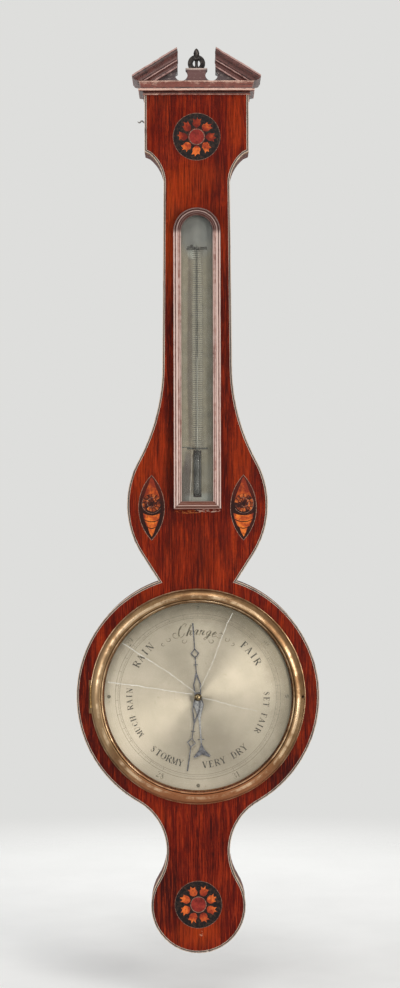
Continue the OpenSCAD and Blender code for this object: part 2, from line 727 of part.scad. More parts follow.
// Shells: a pointed oval ground with a spire, a whorl and bands
oval_r = (pow(shell_h, 2) + pow(shell_w, 2)) / (4 * shell_w);
module shell_oval(d) intersection() {
    translate([oval_r - shell_w / 2, 0]) circle(r = oval_r - d, $fn = 180);
    translate([shell_w / 2 - oval_r, 0]) circle(r = oval_r - d, $fn = 180);
}
whorl_r = shell_w * 0.33;
whorl_z = shell_h * 0.08;
module shell_pieces_shape() {
    translate([0, whorl_z]) circle(r = whorl_r, $fn = 64);
    polygon([[-whorl_r * 0.7, whorl_z + whorl_r * 0.9], [whorl_r * 0.7, whorl_z + whorl_r * 0.9],
        [whorl_r * 0.2, shell_h * 0.4], [-whorl_r * 0.2, shell_h * 0.4]]);
    intersection() {
        shell_oval(shell_w * 0.1);
        union() {
            translate([-shell_w / 2, -shell_h * 0.17]) square([shell_w, shell_h * 0.11]);
            translate([-shell_w / 2, -shell_h * 0.3]) square([shell_w, shell_h * 0.11]);
            translate([-shell_w / 2, -shell_h * 0.38]) square([shell_w, shell_h * 0.06]);
        }
    }
}
module shell_ground(side) layer(board_front, case_depth)
    translate([side * shell_x, -shell_drop]) difference() {
        shell_oval(0);
        shell_pieces_shape();
    }
module shell_pieces(side)
    layer(board_front, case_depth) translate([side * shell_x, -shell_drop]) shell_pieces_shape();
module left_shell_ground() color(ebony) shell_ground(-1);
module left_shell_pieces() color(satinwood) shell_pieces(-1);
module right_shell_ground() color(ebony) shell_ground(1);
module right_shell_pieces() color(satinwood) shell_pieces(1);

// Thermometer box with an arched top
arch_z = -(box_top_drop + box_w / 2);
box_face = case_depth + box_out;
box_glass_front = box_face - box_lip_t;
sight_half = box_sight_w / 2;
rebate_half_w = sight_half + box_rebate;
box_bevel = 1.4;
glass_room = 0.1;
scale_room = 0.3;
module arched(half, low)
    polygon(concat(arc(0, arch_z, half, 0, 180, 32), [[-half, low], [half, low]]));
// An arched opening keeps the same margin at its lower end as at its sides
module arched_inside(half) arched(half, -box_end_drop + box_w / 2 - half);
module arch_ring(outer, inner, back, front) layer(back, front) difference() {
    arched_inside(box_w / 2 - outer);
    arched_inside(inner);
}
module thermometer_frame() color(worn_wood) {
    arch_ring(0, rebate_half_w, case_depth, box_glass_front);
    arch_ring(0.9, sight_half, box_glass_front, box_face - box_bevel);
    arch_ring(2, sight_half + 1, box_face - box_bevel, box_face);
}
module thermometer_glass() color(clear_glass)
    layer(box_glass_front - box_glass_t, box_glass_front) arched_inside(rebate_half_w - glass_room);

tube_axis = case_depth + bulb_r + 0.1;
tube_sink = bulb_r + 0.4;
module thermometer_scale() color(silvered) layer(case_depth, case_depth + scale_t) difference() {
    arched_inside(rebate_half_w - scale_room);
    translate([-tube_sink, -bulb_end_drop - 1])
        square([2 * tube_sink, bulb_end_drop - bulb_top_drop + 3]);
}
mercury_film = 0.03;
thermo_bore_r = 0.55;
thermo_end_wall = 4;
bulb_wall = 0.5;
bulb_straight = bulb_end_drop - bulb_top_drop - 2 * bulb_r;
module tube_axis_bar(r, low, h) translate([0, -tube_axis, low]) cylinder(r = r, h = h, $fn = 48);
module bulb(r) {
    low = -bulb_end_drop + bulb_r;
    tube_axis_bar(r, low, bulb_straight);
    for (z = [low, low + bulb_straight]) translate([0, -tube_axis, z]) sphere(r = r, $fn = 48);
}
module thermo_inside(top, shrink) {
    tube_axis_bar(thermo_bore_r - shrink, -bulb_top_drop - bulb_r, bulb_top_drop + bulb_r - top);
    bulb(bulb_r - bulb_wall - shrink);
}
module thermometer_tube() color(clear_glass) difference() {
    union() {
        tube_axis_bar(thermo_tube_r, -bulb_top_drop - bulb_r, bulb_top_drop + bulb_r - thermo_top_drop);
        bulb(bulb_r);
    }
    thermo_inside(thermo_top_drop + thermo_end_wall, 0);
}
module thermometer_mercury() color(mercury_grey) thermo_inside(reading_drop, mercury_film);

clip_drops = [thermo_top_drop + 7.5, bulb_top_drop - 4];
clip_w = 2;
clip_t = 0.6;
clip_half = 11;
clip_fit = 0.02;
plate_front = case_depth + scale_t;
module thermometer_clips() color(dark_metal) for (drop = clip_drops) difference() {
    union() {
        block([-clip_half, plate_front, -drop - clip_w / 2],
            [clip_half, plate_front + clip_t, -drop + clip_w / 2]);
        tube_axis_bar(thermo_tube_r + clip_t, -drop - clip_w / 2, clip_w);
    }
    tube_axis_bar(thermo_tube_r + clip_fit, -drop - clip_w, 2 * clip_w);
    block([-clip_half, case_depth - past, -drop - clip_w], [clip_half, plate_front, -drop + clip_w]);
}

// Dial plate on the front board
bush_r = 3;
bridge_screw_r = 1;
bridge_screw_at = 24.7;
bridge_screw_end = board_front + dial_t - 0.7;
module dial_plate() color(silvered) difference() {
    layer(board_front, dial_front) at_dial() circle(r = dial_r, $fn = 180);
    rod(0, dial_z, bush_r, board_front - past, dial_front + past);
    dial_screw_places() screw_hole(0, 0, board_front - past, dial_front + past, dial_shank_r);
    for (side = [-1, 1]) screw_hole(0, dial_z + side * bridge_screw_at, board_front - past,
        bridge_screw_end + screw_fit, bridge_screw_r);
}
module dial_screws() color(dark_metal) dial_screw_places()
    front_screw(0, 0, dial_front, dial_screw_l + dial_t, dial_shank_r, dial_screw_head_r);

// Bezel: a hinged ring with its glass
band_in = 2.9;
band_r = bezel_w - 1.9;
band_centre = [bezel_sight_r + band_in, bezel_h - band_r];
bead_r = 1.05;
bezel_lip_w = 4;
bezel_lip_drop = 1.3;
rebate_r = bezel_sight_r + bezel_rebate;
module bezel_profile() difference() {
    union() {
        intersection() {
            translate([bezel_sight_r, 0]) square([bezel_r - bezel_sight_r, bezel_h]);
            translate(band_centre) circle(r = band_r, $fn = 120);
        }
        translate([bezel_sight_r + bead_r, bezel_h - bead_r - 0.2]) circle(r = bead_r, $fn = 32);
        translate([bezel_sight_r, glass_lift + glass_t])
            square([bezel_lip_w, bezel_h - glass_lift - glass_t - bezel_lip_drop]);
    }
    translate([0, -past]) square([rebate_r, glass_lift + glass_t + past]);
}
module bezel() color(old_brass) difference() {
    knuckle_reach = bezel_knuckle_r + knuckle_room;
    half = bezel_hinge_l / 2;
    turned(0, dial_z) translate([0, case_depth]) bezel_profile();
    catch_hole(case_depth - past, case_depth + bezel_h);
    block([bezel_hinge_x - knuckle_reach, case_depth - past, dial_z - half - knuckle_room],
        [bezel_hinge_x + knuckle_reach, bezel_hinge_depth + bezel_knuckle_r + leaf_room,
            dial_z + half + knuckle_room]);
    block([bezel_hinge_x, case_depth - past, dial_z - half],
        [bezel_hinge_x + hinge_leaf_w, case_depth + hinge_leaf_t, dial_z + half]);
}
stem_r = 2;
module bezel_glass() color(clear_glass) difference() {
    layer(glass_back, glass_front) at_dial() circle(r = rebate_r - glass_room, $fn = 180);
    rod(0, dial_z, stem_r + running_fit, glass_back - past, glass_front + past);
}
glass_ring_t = 1.4;
module bezel_glass_ring() color(old_brass)
    layer(glass_back - glass_ring_t, glass_back) at_dial() difference() {
        circle(r = rebate_r, $fn = 180);
        circle(r = bezel_sight_r, $fn = 180);
    }

// Bezel hinge: three knuckles on a pin at the left edge of the bezel
knuckle_gap = 0.15;
moving_half = bezel_hinge_l / 6;
// An upright bar at a hinge axis, between two heights
module hinge_bar(x, depth, r, low, high)
    translate([x, -depth, low]) cylinder(r = r, h = high - low, $fn = 48);
module bezel_bar(r, low, high)
    hinge_bar(bezel_hinge_x, bezel_hinge_depth, r, dial_z + low, dial_z + high);
module bezel_knuckle(low, high, bore) difference() {
    bezel_bar(bezel_knuckle_r, low, high);
    bezel_bar(bore, low - past, high + past);
}
module bezel_leaf(back, front, low, high) difference() {
    block([bezel_hinge_x, back, dial_z + low], [bezel_hinge_x + hinge_leaf_w, front, dial_z + high]);
    bezel_bar(bezel_knuckle_r - 0.05, low - past, high + past);
}
module bezel_leaf_wing(back) {
    half = bezel_hinge_l / 2;
    block([bezel_hinge_x + bezel_knuckle_r + leaf_room, back, dial_z - half],
        [bezel_hinge_x + hinge_leaf_w, back + hinge_leaf_t, dial_z + half]);
}
module bezel_hinge_fixed_leaf() color(old_brass) {
    half = bezel_hinge_l / 2;
    back = case_depth - hinge_leaf_t;
    for (span = [[-half, -moving_half - knuckle_gap], [moving_half + knuckle_gap, half]]) {
        bezel_knuckle(span[0], span[1], hinge_pin_r);
        bezel_leaf(back, case_depth, span[0], span[1]);
    }
    bezel_leaf_wing(back);
}
module bezel_hinge_moving_leaf() color(old_brass) {
    bezel_knuckle(-moving_half, moving_half, hinge_pin_r + running_fit);
    bezel_leaf(case_depth, case_depth + hinge_leaf_t, -moving_half, moving_half);
    bezel_leaf_wing(case_depth);
}
module bezel_hinge_pin() color(old_brass)
    bezel_bar(hinge_pin_r, -bezel_hinge_l / 2, bezel_hinge_l / 2);

// Hands: a tip, an open diamond, a tick and an open leaf, drawn pointing up
fret_w = 1.2;
tick_w = 4.6;
tick_t = 1;
leaf_to_tick = 8;
tip_w = bar_w * 1.4;
module diamond(w, h) polygon([[0, -h / 2], [w / 2, 0], [0, h / 2], [-w / 2, 0]]);
module cross_bar(width, at) translate([-width / 2, at - tick_t / 2]) square([width, tick_t]);
module pointer(length, diamond_at, tick_at) {
    leaf_end = tick_at - leaf_to_tick;
    widest = leaf_end / 2;
    diamond_top = diamond_at + diamond_h / 2 - 1;
    polygon([[-bar_w / 2, diamond_top], [bar_w / 2, diamond_top],
        [tip_w / 2, length], [-tip_w / 2, length]]);
    translate([0, diamond_at]) difference() {
        diamond(diamond_w, diamond_h);
        diamond(diamond_w - 2.5 * fret_w, diamond_h - 2.8 * fret_w);
    }
    translate([-bar_w / 2, leaf_end - 2]) square([bar_w, diamond_at - diamond_h / 2 - leaf_end + 3]);
    cross_bar(tick_w, tick_at);
    difference() {
        polygon([[-hub_r, 0], [hub_r, 0], [leaf_w / 2, widest], [bar_w / 2, leaf_end],
            [-bar_w / 2, leaf_end], [-leaf_w / 2, widest]]);
        polygon([[fret_w - hub_r, hub_r + 1], [hub_r - fret_w, hub_r + 1], [leaf_w / 2 - fret_w, widest],
            [0, leaf_end - 4.5], [fret_w - leaf_w / 2, widest]]);
    }
}
tail_leaf_at = 9;
tail_leaf_end = 24;
anchor_h = 13;
tail_bar_at = 46;
module anchor_tail() {
    crown = tail_l - anchor_h;
    flukes = anchor_w / 2;
    polygon([[-hub_r, 0], [-tail_leaf_w / 2, -tail_leaf_at], [-bar_w * 0.8, -tail_leaf_end],
        [-bar_w * 0.6, -crown - 5], [bar_w * 0.6, -crown - 5], [bar_w * 0.8, -tail_leaf_end],
        [tail_leaf_w / 2, -tail_leaf_at], [hub_r, 0]]);
    cross_bar(1.5 * tick_w, -tail_bar_at);
    difference() {
        polygon([[-bar_w / 2, -crown], [-flukes / 3, -crown - 6], [-flukes, -tail_l],
            [1.2 - flukes, -tail_l - 1.4], [0, 2 - tail_l], [flukes - 1.2, -tail_l - 1.4],
            [flukes, -tail_l], [flukes / 3, -crown - 6], [bar_w / 2, -crown]]);
        translate([0, -tail_l - 3]) circle(r = 4, $fn = 32);
    }
}
module hand_layer(angle, back) translate([0, 0, dial_z]) rotate([0, angle, 0])
    layer(back, back + hand_t) difference() {
        union() {
            children();
            circle(r = hub_r, $fn = 48);
        }
        circle(r = arbor_r, $fn = 48);
    }
module indicating_hand() color(blued_steel) hand_layer(hand_angle, hand_back) {
    pointer(hand_l, hand_diamond_at, hand_tick_at);
    anchor_tail();
}
module set_hand() color(blued_steel) hand_layer(set_hand_angle, set_hand_back)
    pointer(set_hand_l, set_diamond_at, set_tick_at);

// Depth at which the knob's foot rides clear of the glass
knob_depth = glass_front + 0.3;
module set_hand_knob() color(old_brass) turned(0, dial_z) polygon(concat([
    [0, set_hand_back], [arbor_r, set_hand_back], [arbor_r, set_hand_back + hand_t],
    [stem_r, set_hand_back + hand_t], [stem_r, knob_depth], [knob_r * 0.55, knob_depth]],
    arc(0, knob_depth + knob_r * 0.85, knob_r, -58, 90, 14)));

// Movement: arbor, pulley and bridge behind the dial
groove_gap = 4;
groove_half = 1;
flange_t = 1.2;
flange_h = 1.6;
thread_depth = board_back - 7.2;
weight_depth = thread_depth + groove_gap;
pulley_back = thread_depth - groove_half - flange_t;
pulley_front = weight_depth + groove_half + flange_t;
flange_r = pulley_r + flange_h;
groove_r = pulley_r - thread_r;
bridge_t = 2;
bridge_back = pulley_back - 1.5 - bridge_t;
bridge_half_w = 3;
bridge_post = 20;
bridge_foot_end = 27.4;
bridge_screw_head_r = 1.7;
bridge_screw_head_h = 1;
module hand_arbor() color(blued_steel)
    rod(0, dial_z, arbor_r, bridge_back + 0.2, hand_back + hand_t + 0.3);
module pulley_wheel() color(boxwood) turned(0, dial_z) polygon([
    [arbor_r, pulley_back], [flange_r, pulley_back], [flange_r, thread_depth - groove_half],
    [groove_r, thread_depth - groove_half], [groove_r, thread_depth + groove_half],
    [flange_r, thread_depth + groove_half], [flange_r, weight_depth - groove_half],
    [groove_r, weight_depth - groove_half], [groove_r, weight_depth + groove_half],
    [flange_r, weight_depth + groove_half], [flange_r, pulley_front], [arbor_r, pulley_front]]);
bush_reach = 2;
module arbor_bush() color(old_brass) difference() {
    rod(0, dial_z, bush_r, board_front - bush_reach, dial_front + 0.8);
    rod(0, dial_z, arbor_r + running_fit, board_front - bush_reach - past, dial_front + 2);
}
module bridge_ends() for (side = [-1, 1])
    translate([0, 0, dial_z]) mirror([0, 0, side < 0 ? 1 : 0]) children();
module movement_bridge() color(old_brass) difference() {
    union() {
        block([-bridge_half_w, bridge_back, dial_z - bridge_post - bridge_t],
            [bridge_half_w, bridge_back + bridge_t, dial_z + bridge_post + bridge_t]);
        bridge_ends() {
            block([-bridge_half_w, bridge_back, bridge_post],
                [bridge_half_w, board_front, bridge_post + bridge_t]);
            block([-bridge_half_w, board_front - bridge_t, bridge_post],
                [bridge_half_w, board_front, bridge_foot_end]);
        }
    }
    rod(0, dial_z, arbor_r + running_fit, bridge_back - past, bridge_back + bridge_t + past);
    bridge_ends() screw_hole(0, bridge_screw_at, board_front - bridge_t - past, board_front + past,
        bridge_screw_r);
}
module bridge_screws() color(dark_metal) bridge_ends() {
    seat = board_front - bridge_t;
    rod(0, bridge_screw_at, bridge_screw_r, seat, bridge_screw_end);
    rod(0, bridge_screw_at, bridge_screw_head_r, seat - bridge_screw_head_h, seat);
}

// Float and counterweight on silk threads
thread_x = pulley_r;
float_bottom_z = mercury_z + 0.3;
float_hook_h = 3;
float_hook_r = 0.8;
float_round = 1.5;
float_top_z = float_bottom_z + float_l + float_hook_h;
module hanging(x, depth, z) translate([x, -depth, z]) children();
module float() color(clear_glass) hanging(thread_x, thread_depth, float_bottom_z)
    rotate_extrude($fn = 48) polygon(concat([[0, 0]],
        arc(float_r - float_round, float_round, float_round, -90, 0, 5),
        arc(float_r - float_round, float_l - float_round, float_round, 0, 90, 5),
        [[float_hook_r, float_l], [float_hook_r, float_l + float_hook_h], [0, float_l + float_hook_h]]));
module float_thread() color(silk_white) hanging(thread_x, thread_depth, float_top_z)
    cylinder(r = thread_r, h = dial_z - float_top_z, $fn = 16);
module counterweight() color(old_brass) hanging(-thread_x, weight_depth, -weight_drop - weight_l)
    rotate_extrude($fn = 48) polygon([[0, 0], [weight_r * 0.6, 0], [weight_r, 1.5],
        [weight_r, weight_l - 2], [weight_r * 0.4, weight_l - 1], [weight_r * 0.4, weight_l],
        [0, weight_l]]);
module counterweight_thread() color(silk_white) hanging(-thread_x, weight_depth, -weight_drop)
    cylinder(r = thread_r, h = dial_z + weight_drop, $fn = 16);

// Siphon tube: a long closed limb, a bend and a short open limb
long_x = limb_margin + long_r - channel_half;
bend_r = (thread_x - long_x) / 2;
bend_x = thread_x - bend_r;
shoulder_z = -bend_drop + 4;
short_floor_z = shoulder_z + 1.5;
tube_end_wall = 3;
column_top_z = -tube_top_drop - tube_end_wall - empty_l;
module bend(r) translate([bend_x, -thread_depth, -bend_drop]) rotate([90, 0, 0])
    rotate([0, 0, 180]) rotate_extrude(angle = 180, $fn = 96) translate([bend_r, 0])
        circle(r = r, $fn = 48);
module limb(x, r, low, high)
    translate([x, -thread_depth, low]) cylinder(r = r, h = high - low, $fn = 48);
module siphon_tube() color(clear_glass) difference() {
    union() {
        limb(long_x, long_r, -bend_drop, -tube_top_drop);
        bend(long_r);
        limb(thread_x, long_r, -bend_drop, shoulder_z);
        limb(thread_x, short_r, shoulder_z, -short_top_drop);
    }
    limb(long_x, long_bore_r, -bend_drop, -tube_top_drop - tube_end_wall);
    bend(long_bore_r);
    limb(thread_x, long_bore_r, -bend_drop, short_floor_z + past);
    limb(thread_x, short_bore_r, short_floor_z, -short_top_drop + past);
}
module short_limb_mercury() color(mercury_grey)
    limb(thread_x, short_bore_r - mercury_film, short_floor_z, mercury_z);
module column_mercury() color(mercury_grey) {
    bend(long_bore_r - mercury_film);
    limb(long_x, long_bore_r - mercury_film, -bend_drop, column_top_z);
    limb(thread_x, long_bore_r - mercury_film, -bend_drop, short_floor_z);
}
strap_from_top = 60;
strap_above_bulge = 90;
strap_below_bulge = 80;
strap_from_end = 153;
strap_drops = [tube_top_drop + strap_from_top, bulge_drop - strap_above_bulge,
    bulge_drop + strap_below_bulge, channel_end_drop - strap_from_end];
strap_t = 0.8;
strap_w = 9;
strap_fit = 0.05;
module siphon_straps() color(old_brass) for (drop = strap_drops) {
    inside = long_r + strap_fit;
    back = thread_depth - inside;
    difference() {
        block([long_x - inside - strap_t, back - strap_t, -drop - strap_w / 2],
            [long_x + inside + strap_t, board_back, -drop + strap_w / 2]);
        block([long_x - inside, back, -drop - strap_w],
            [long_x + inside, board_back + past, -drop + strap_w]);
    }
}

// Rear door with three hinges and a turn button
door_left = -rebate_half + door_gap;
door_right = rebate_half - door_gap;
door_axis = door_recess - door_leaf_t;
door_third = door_hinge_l / 6;
module rear_door() color(dark_mahogany) difference() {
    block([door_left, door_recess, door_end_z + door_gap / 2],
        [door_right, door_back, door_top_z - door_gap / 2]);
    for (drop = door_hinge_drops)
        block([door_left - past, door_recess - past, -drop - door_hinge_l / 2 - leaf_room],
            [door_hinge_x + door_knuckle_r + knuckle_room, knuckle_pocket_d,
                -drop + door_hinge_l / 2 + leaf_room]);
}
module door_bar(drop, r, low, high)
    hinge_bar(door_hinge_x, door_axis, r, -drop + low, -drop + high);
module door_knuckle(drop, low, high, bore) difference() {
    door_bar(drop, door_knuckle_r, low, high);
    door_bar(drop, bore, low - past, high + past);
}
// A leaf between two heights and two distances from the axis, on the given side of it
module door_leaf(drop, low, high, side, near) translate([door_hinge_x, 0, 0])
    mirror([side < 0 ? 1 : 0, 0, 0])
        block([near, door_axis, -drop + low], [door_leaf_w, door_recess, -drop + high]);
module door_leaf_arm(drop, low, high, side, bore) difference() {
    door_leaf(drop, low, high, side, 0);
    door_bar(drop, bore, low - past, high + past);
}
module door_leaf_wing(drop, side)
    door_leaf(drop, -door_hinge_l / 2, door_hinge_l / 2, side, door_knuckle_r + knuckle_room);
module door_hinge_fixed_leaves() color(old_brass) for (drop = door_hinge_drops) {
    half = door_hinge_l / 2;
    difference() {
        union() {
            for (span = [[-half, -door_third - knuckle_gap], [door_third + knuckle_gap, half]]) {
                door_knuckle(drop, span[0], span[1], hinge_pin_r);
                door_leaf_arm(drop, span[0], span[1], -1, hinge_pin_r);
            }
            door_leaf_wing(drop, -1);
        }
        for (end = [-1, 1])
            screw_hole(hinge_screw_x, -drop + end * hinge_screw_at, -past, door_recess + past);
    }
}
module door_hinge_moving_leaves() color(old_brass) for (drop = door_hinge_drops) {
    door_knuckle(drop, -door_third, door_third, hinge_pin_r + running_fit);
    door_leaf_arm(drop, -door_third, door_third, 1, hinge_pin_r + running_fit);
    door_leaf_wing(drop, 1);
}
module door_hinge_pins() color(old_brass) for (drop = door_hinge_drops)
    door_bar(drop, hinge_pin_r, -door_hinge_l / 2, door_hinge_l / 2);

button_back = screw_head_h + 0.1;
button_front = door_recess - 0.25;
module turn_button() color(old_brass) difference() {
    layer(button_back, button_front) translate([button_x, -button_drop]) {
        square([button_w, button_l - button_w], center = true);
        for (end = [-1, 1])
            translate([0, end * (button_l - button_w) / 2]) circle(r = button_w / 2, $fn = 48);
    }
    rod(button_x, -button_drop, screw_shank_r + running_fit, -past, door_recess + past);
}

// Hanging plate let into the back of the head
plate_seat = screw_head_h + 0.1;
module hanging_plate() color(dark_metal) difference() {
    layer(0, plate_t) hanging_plate_shape();
    rod(0, 0, eye_r, -past, plate_t + past);
    for (drop = plate_screw_drops) {
        screw_hole(0, -drop, -past, plate_t + past);
        rod(0, -drop, screw_head_r + screw_fit, -past, plate_seat);
    }
}
module wood_screws() color(old_brass) {
    for (drop = plate_screw_drops) rear_screw(0, -drop, plate_seat);
    rear_screw(button_x, -button_drop, button_back);
    for (drop = door_hinge_drops, end = [-1, 1])
        rear_screw(hinge_screw_x, -drop + end * hinge_screw_at, door_axis);
}

front_board();
left_case_side();
right_case_side();
head_block();
foot_block();
front_veneer();
box_lines();
ebony_line();
horizontal_cornice();
left_raking_cornice();
right_raking_cornice();
tympanum();
finial();
top_patera_ground();
top_patera_petals();
top_patera_centre();
bottom_patera_ground();
bottom_patera_petals();
bottom_patera_centre();
left_shell_ground();
left_shell_pieces();
right_shell_ground();
right_shell_pieces();
thermometer_frame();
thermometer_glass();
thermometer_scale();
thermometer_tube();
thermometer_mercury();
thermometer_clips();
dial_plate();
dial_screws();
bezel();
bezel_glass();
bezel_glass_ring();
bezel_hinge_fixed_leaf();
bezel_hinge_moving_leaf();
bezel_hinge_pin();
set_hand();
set_hand_knob();
indicating_hand();
hand_arbor();
pulley_wheel();
arbor_bush();
movement_bridge();
bridge_screws();
float();
float_thread();
counterweight();
counterweight_thread();
siphon_tube();
short_limb_mercury();
column_mercury();
siphon_straps();
rear_door();
door_hinge_fixed_leaves();
door_hinge_moving_leaves();
door_hinge_pins();
turn_button();
hanging_plate();
wood_screws();
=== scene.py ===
import random
from math import atan2, cos, exp, hypot, pi, radians, sin, sqrt, tan

import bmesh
import bpy
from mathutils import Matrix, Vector, noise


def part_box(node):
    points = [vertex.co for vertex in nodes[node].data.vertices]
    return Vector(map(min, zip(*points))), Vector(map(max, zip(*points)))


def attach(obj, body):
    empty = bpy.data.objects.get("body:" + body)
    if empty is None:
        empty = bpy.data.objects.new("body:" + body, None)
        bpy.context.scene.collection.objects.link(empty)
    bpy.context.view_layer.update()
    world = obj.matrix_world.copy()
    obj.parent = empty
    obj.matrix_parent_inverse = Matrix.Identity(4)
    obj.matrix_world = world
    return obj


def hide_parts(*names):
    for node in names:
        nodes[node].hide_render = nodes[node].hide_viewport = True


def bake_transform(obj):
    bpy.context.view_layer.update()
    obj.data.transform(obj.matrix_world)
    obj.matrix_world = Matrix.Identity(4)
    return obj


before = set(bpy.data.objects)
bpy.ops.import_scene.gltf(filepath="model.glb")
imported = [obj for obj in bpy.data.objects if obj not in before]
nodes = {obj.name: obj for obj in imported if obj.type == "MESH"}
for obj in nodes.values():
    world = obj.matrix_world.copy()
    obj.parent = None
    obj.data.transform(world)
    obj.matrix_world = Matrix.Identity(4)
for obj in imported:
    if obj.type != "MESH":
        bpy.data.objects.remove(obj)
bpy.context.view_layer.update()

# Both sources of chance are seeded, so that each run gives the same shapes. At some seeds of the noise,
# which Blender otherwise takes from the clock, a dark streak shows on top of the left raking cornice
rng = random.Random(11)
noise.seed_set(3)

# Places in millimetres, as the CAD has them: depths from the wall, heights from the hanging eye
FACE = 40.0
DIAL_Z = -685.3
DIAL_FRONT = 40.4
SCALE_FRONT = 41.2
GLASS_FRONT = 46.1
HEAD_TOP = -27.3
HALF_HEAD = 55.8
ARCH_Z, BOX_END, BOX_HALF = -188.8, -484.9, 25.2

# Inlays start inside the wood, and each layer stands a hair proud of the one below it
INLAY_BACK = 39.6
GROUND, SHAPE, EYE, LINE, WHORL, OUTLINE = (FACE + lift for lift in (0.02, 0.06, 0.07, 0.08, 0.09, 0.1))


def point(x, depth, z):
    return Vector((x, -depth, z)) * 0.001


def srgb(r, g, b):
    def one(c):
        c /= 255
        return c / 12.92 if c <= 0.04045 else ((c + 0.055) / 1.055) ** 2.4

    return (one(r), one(g), one(b), 1)


def add(name, data):
    obj = bpy.data.objects.new(name, data)
    bpy.context.scene.collection.objects.link(obj)
    return obj


# ---------- materials ----------
class Look:
    """A Principled material, and short calls for the nodes that drive it."""

    def __init__(self, name, rough=0.5, metal=0.0, coat=0.0, coat_rough=0.15, **more):
        self.mat = bpy.data.materials.new(name)
        self.mat.use_nodes = True
        self.tree = self.mat.node_tree
        self.shader = self.tree.nodes["Principled BSDF"]
        self.place = None
        self.set("Roughness", rough)
        self.set("Metallic", metal)
        self.set("Coat Weight", coat)
        self.set("Coat Roughness", coat_rough)
        for key, value in more.items():
            self.set(key.replace("_", " "), value)

    def set(self, name, value):
        self.put(self.shader.inputs[name], value)

    def put(self, socket, value):
        if isinstance(value, bpy.types.NodeSocket):
            self.tree.links.new(value, socket)
        else:
            socket.default_value = value

    def node(self, kind, inputs=None, **settings):
        n = self.tree.nodes.new("ShaderNode" + kind)
        for key, value in settings.items():
            setattr(n, key, value)
        for key, value in (inputs or {}).items():
            self.put(n.inputs[key], value)
        return n

    def mapped(self, where, scale, offset=(0, 0, 0)):
        scale = scale if isinstance(scale, tuple) else (scale,) * 3
        return self.node("Mapping", {"Vector": where, "Scale": scale, "Location": offset}).outputs["Vector"]

    def at(self, scale, offset=(0, 0, 0)):
        """Object coordinates in metres, times one scale or three."""
        if self.place is None:
            self.place = self.node("TexCoord").outputs["Object"]
        return self.mapped(self.place, scale, offset)

    def run(self, along, across):
        """Coordinates that follow a moulding, in metres, scaled."""
        n = self.node("Attribute", attribute_name="run")
        return self.mapped(n.outputs["Vector"], (along, across, across))

    def axis(self, name):
        """One object coordinate, in millimetres."""
        return self.node("SeparateXYZ", {0: self.at(1000)}).outputs[name]

    def reach(self, where):
        """How far scaled coordinates lie from nought."""
        return self.node("VectorMath", {0: where}, operation="LENGTH").outputs["Value"]

    def shade(self):
        """The value that a mesh carries for each vertex: 0 in a groove, 1 on a proud edge. On the wooden mouldings it
        gives painted shade in the grooves and pale wear with painted highlight on the edges; on the bezel, patina and
        rubbing; on inlays, the scorched tone.
        """
        return self.node("Attribute", attribute_name="shade").outputs["Fac"]

    def noise(self, where, detail=3.0, rough=0.55, distort=0.0):
        inputs = {"Vector": where, "Scale": 1.0, "Detail": detail, "Roughness": rough, "Distortion": distort}
        return self.node("TexNoise", inputs).outputs["Fac"]

    def cloud(self, scale, detail=3.0, rough=0.55, distort=0.0, offset=(0, 0, 0)):
        """Noise over the object's own coordinates."""
        return self.noise(self.at(scale, offset), detail, rough, distort)

    def math(self, op, a, b=0.0, clamp=False):
        return self.node("Math", {0: a, 1: b}, operation=op, use_clamp=clamp).outputs[0]

    def plus(self, a, b, clamp=False):
        return self.math("ADD", a, b, clamp)

    def less(self, a, b):
        return self.math("SUBTRACT", a, b)

    def times(self, a, b):
        return self.math("MULTIPLY", a, b)

    def sway(self, value, wave, amount):
        """The value, moved up and down by a noise."""
        return self.plus(value, self.times(self.less(wave, 0.5), amount))

    def ease(self, value, low, high, to_low=0.0, to_high=1.0):
        inputs = {"Value": value, "From Min": low, "From Max": high, "To Min": to_low, "To Max": to_high}
        return self.node("MapRange", inputs, interpolation_type="SMOOTHSTEP").outputs["Result"]

    def ramp(self, value, *stops):
        n = self.node("ValToRGB", {"Fac": value})
        band = n.color_ramp
        while len(band.elements) < len(stops):
            band.elements.new(0.5)
        for element, (where, colour) in zip(band.elements, stops):
            element.position = where
            element.color = srgb(*colour)
        return n.outputs["Color"]

    def paint(self, colour):
        self.colour = colour
        self.set("Base Color", colour)

    def tint(self, over, share, *band):
        """Lays a colour over the look's own, by a share, or by how far a value has crossed a band."""
        share = self.ease(share, *band) if band else share
        self.paint(self.node("Mix", {0: share, 6: self.colour, 7: srgb(*over)}, data_type="RGBA").outputs[2])

    def blob(self, x, z, rx, rz, soft=0.5, ragged=0.25):
        """1 inside an ellipse on the front, in millimetres, and 0 outside it, with a ragged edge."""
        far = self.reach(self.at((1000 / rx, 0, 1000 / rz), (-x / rx, 0, -z / rz)))
        if ragged:
            far = self.sway(far, self.cloud(130), ragged * 2)
        return self.ease(far, 1 + soft / 2, 1 - soft / 2)

    def stain_or_shade(self, over, share, *ellipse):
        """Lays a share of a colour over the look's own, inside a blob."""
        self.tint(over, self.times(self.blob(*ellipse), share))

    def bump(self, height, strength=0.3, distance=0.0002):
        n = self.node("Bump", {"Strength": strength, "Distance": distance, "Height": height})
        self.set("Normal", n.outputs["Normal"])

    def see_through(self, share, tint=(1, 1, 1, 1)):
        """Lets light pass, but for this share."""
        clear = self.node("BsdfTransparent", {"Color": tint})
        both = self.node("MixShader", {0: share, 1: clear.outputs[0], 2: self.shader.outputs[0]})
        self.put(self.tree.nodes["Material Output"].inputs["Surface"], both.outputs[0])


def mottled(name, scale, *stops, detail=3, noise_rough=0.55, offset=(0, 0, 0), **more):
    """A plain material that wanders between a few tones."""
    look = Look(name, **more)
    look.paint(look.ramp(look.cloud(scale, detail, noise_rough, 0, offset), *stops))
    return look


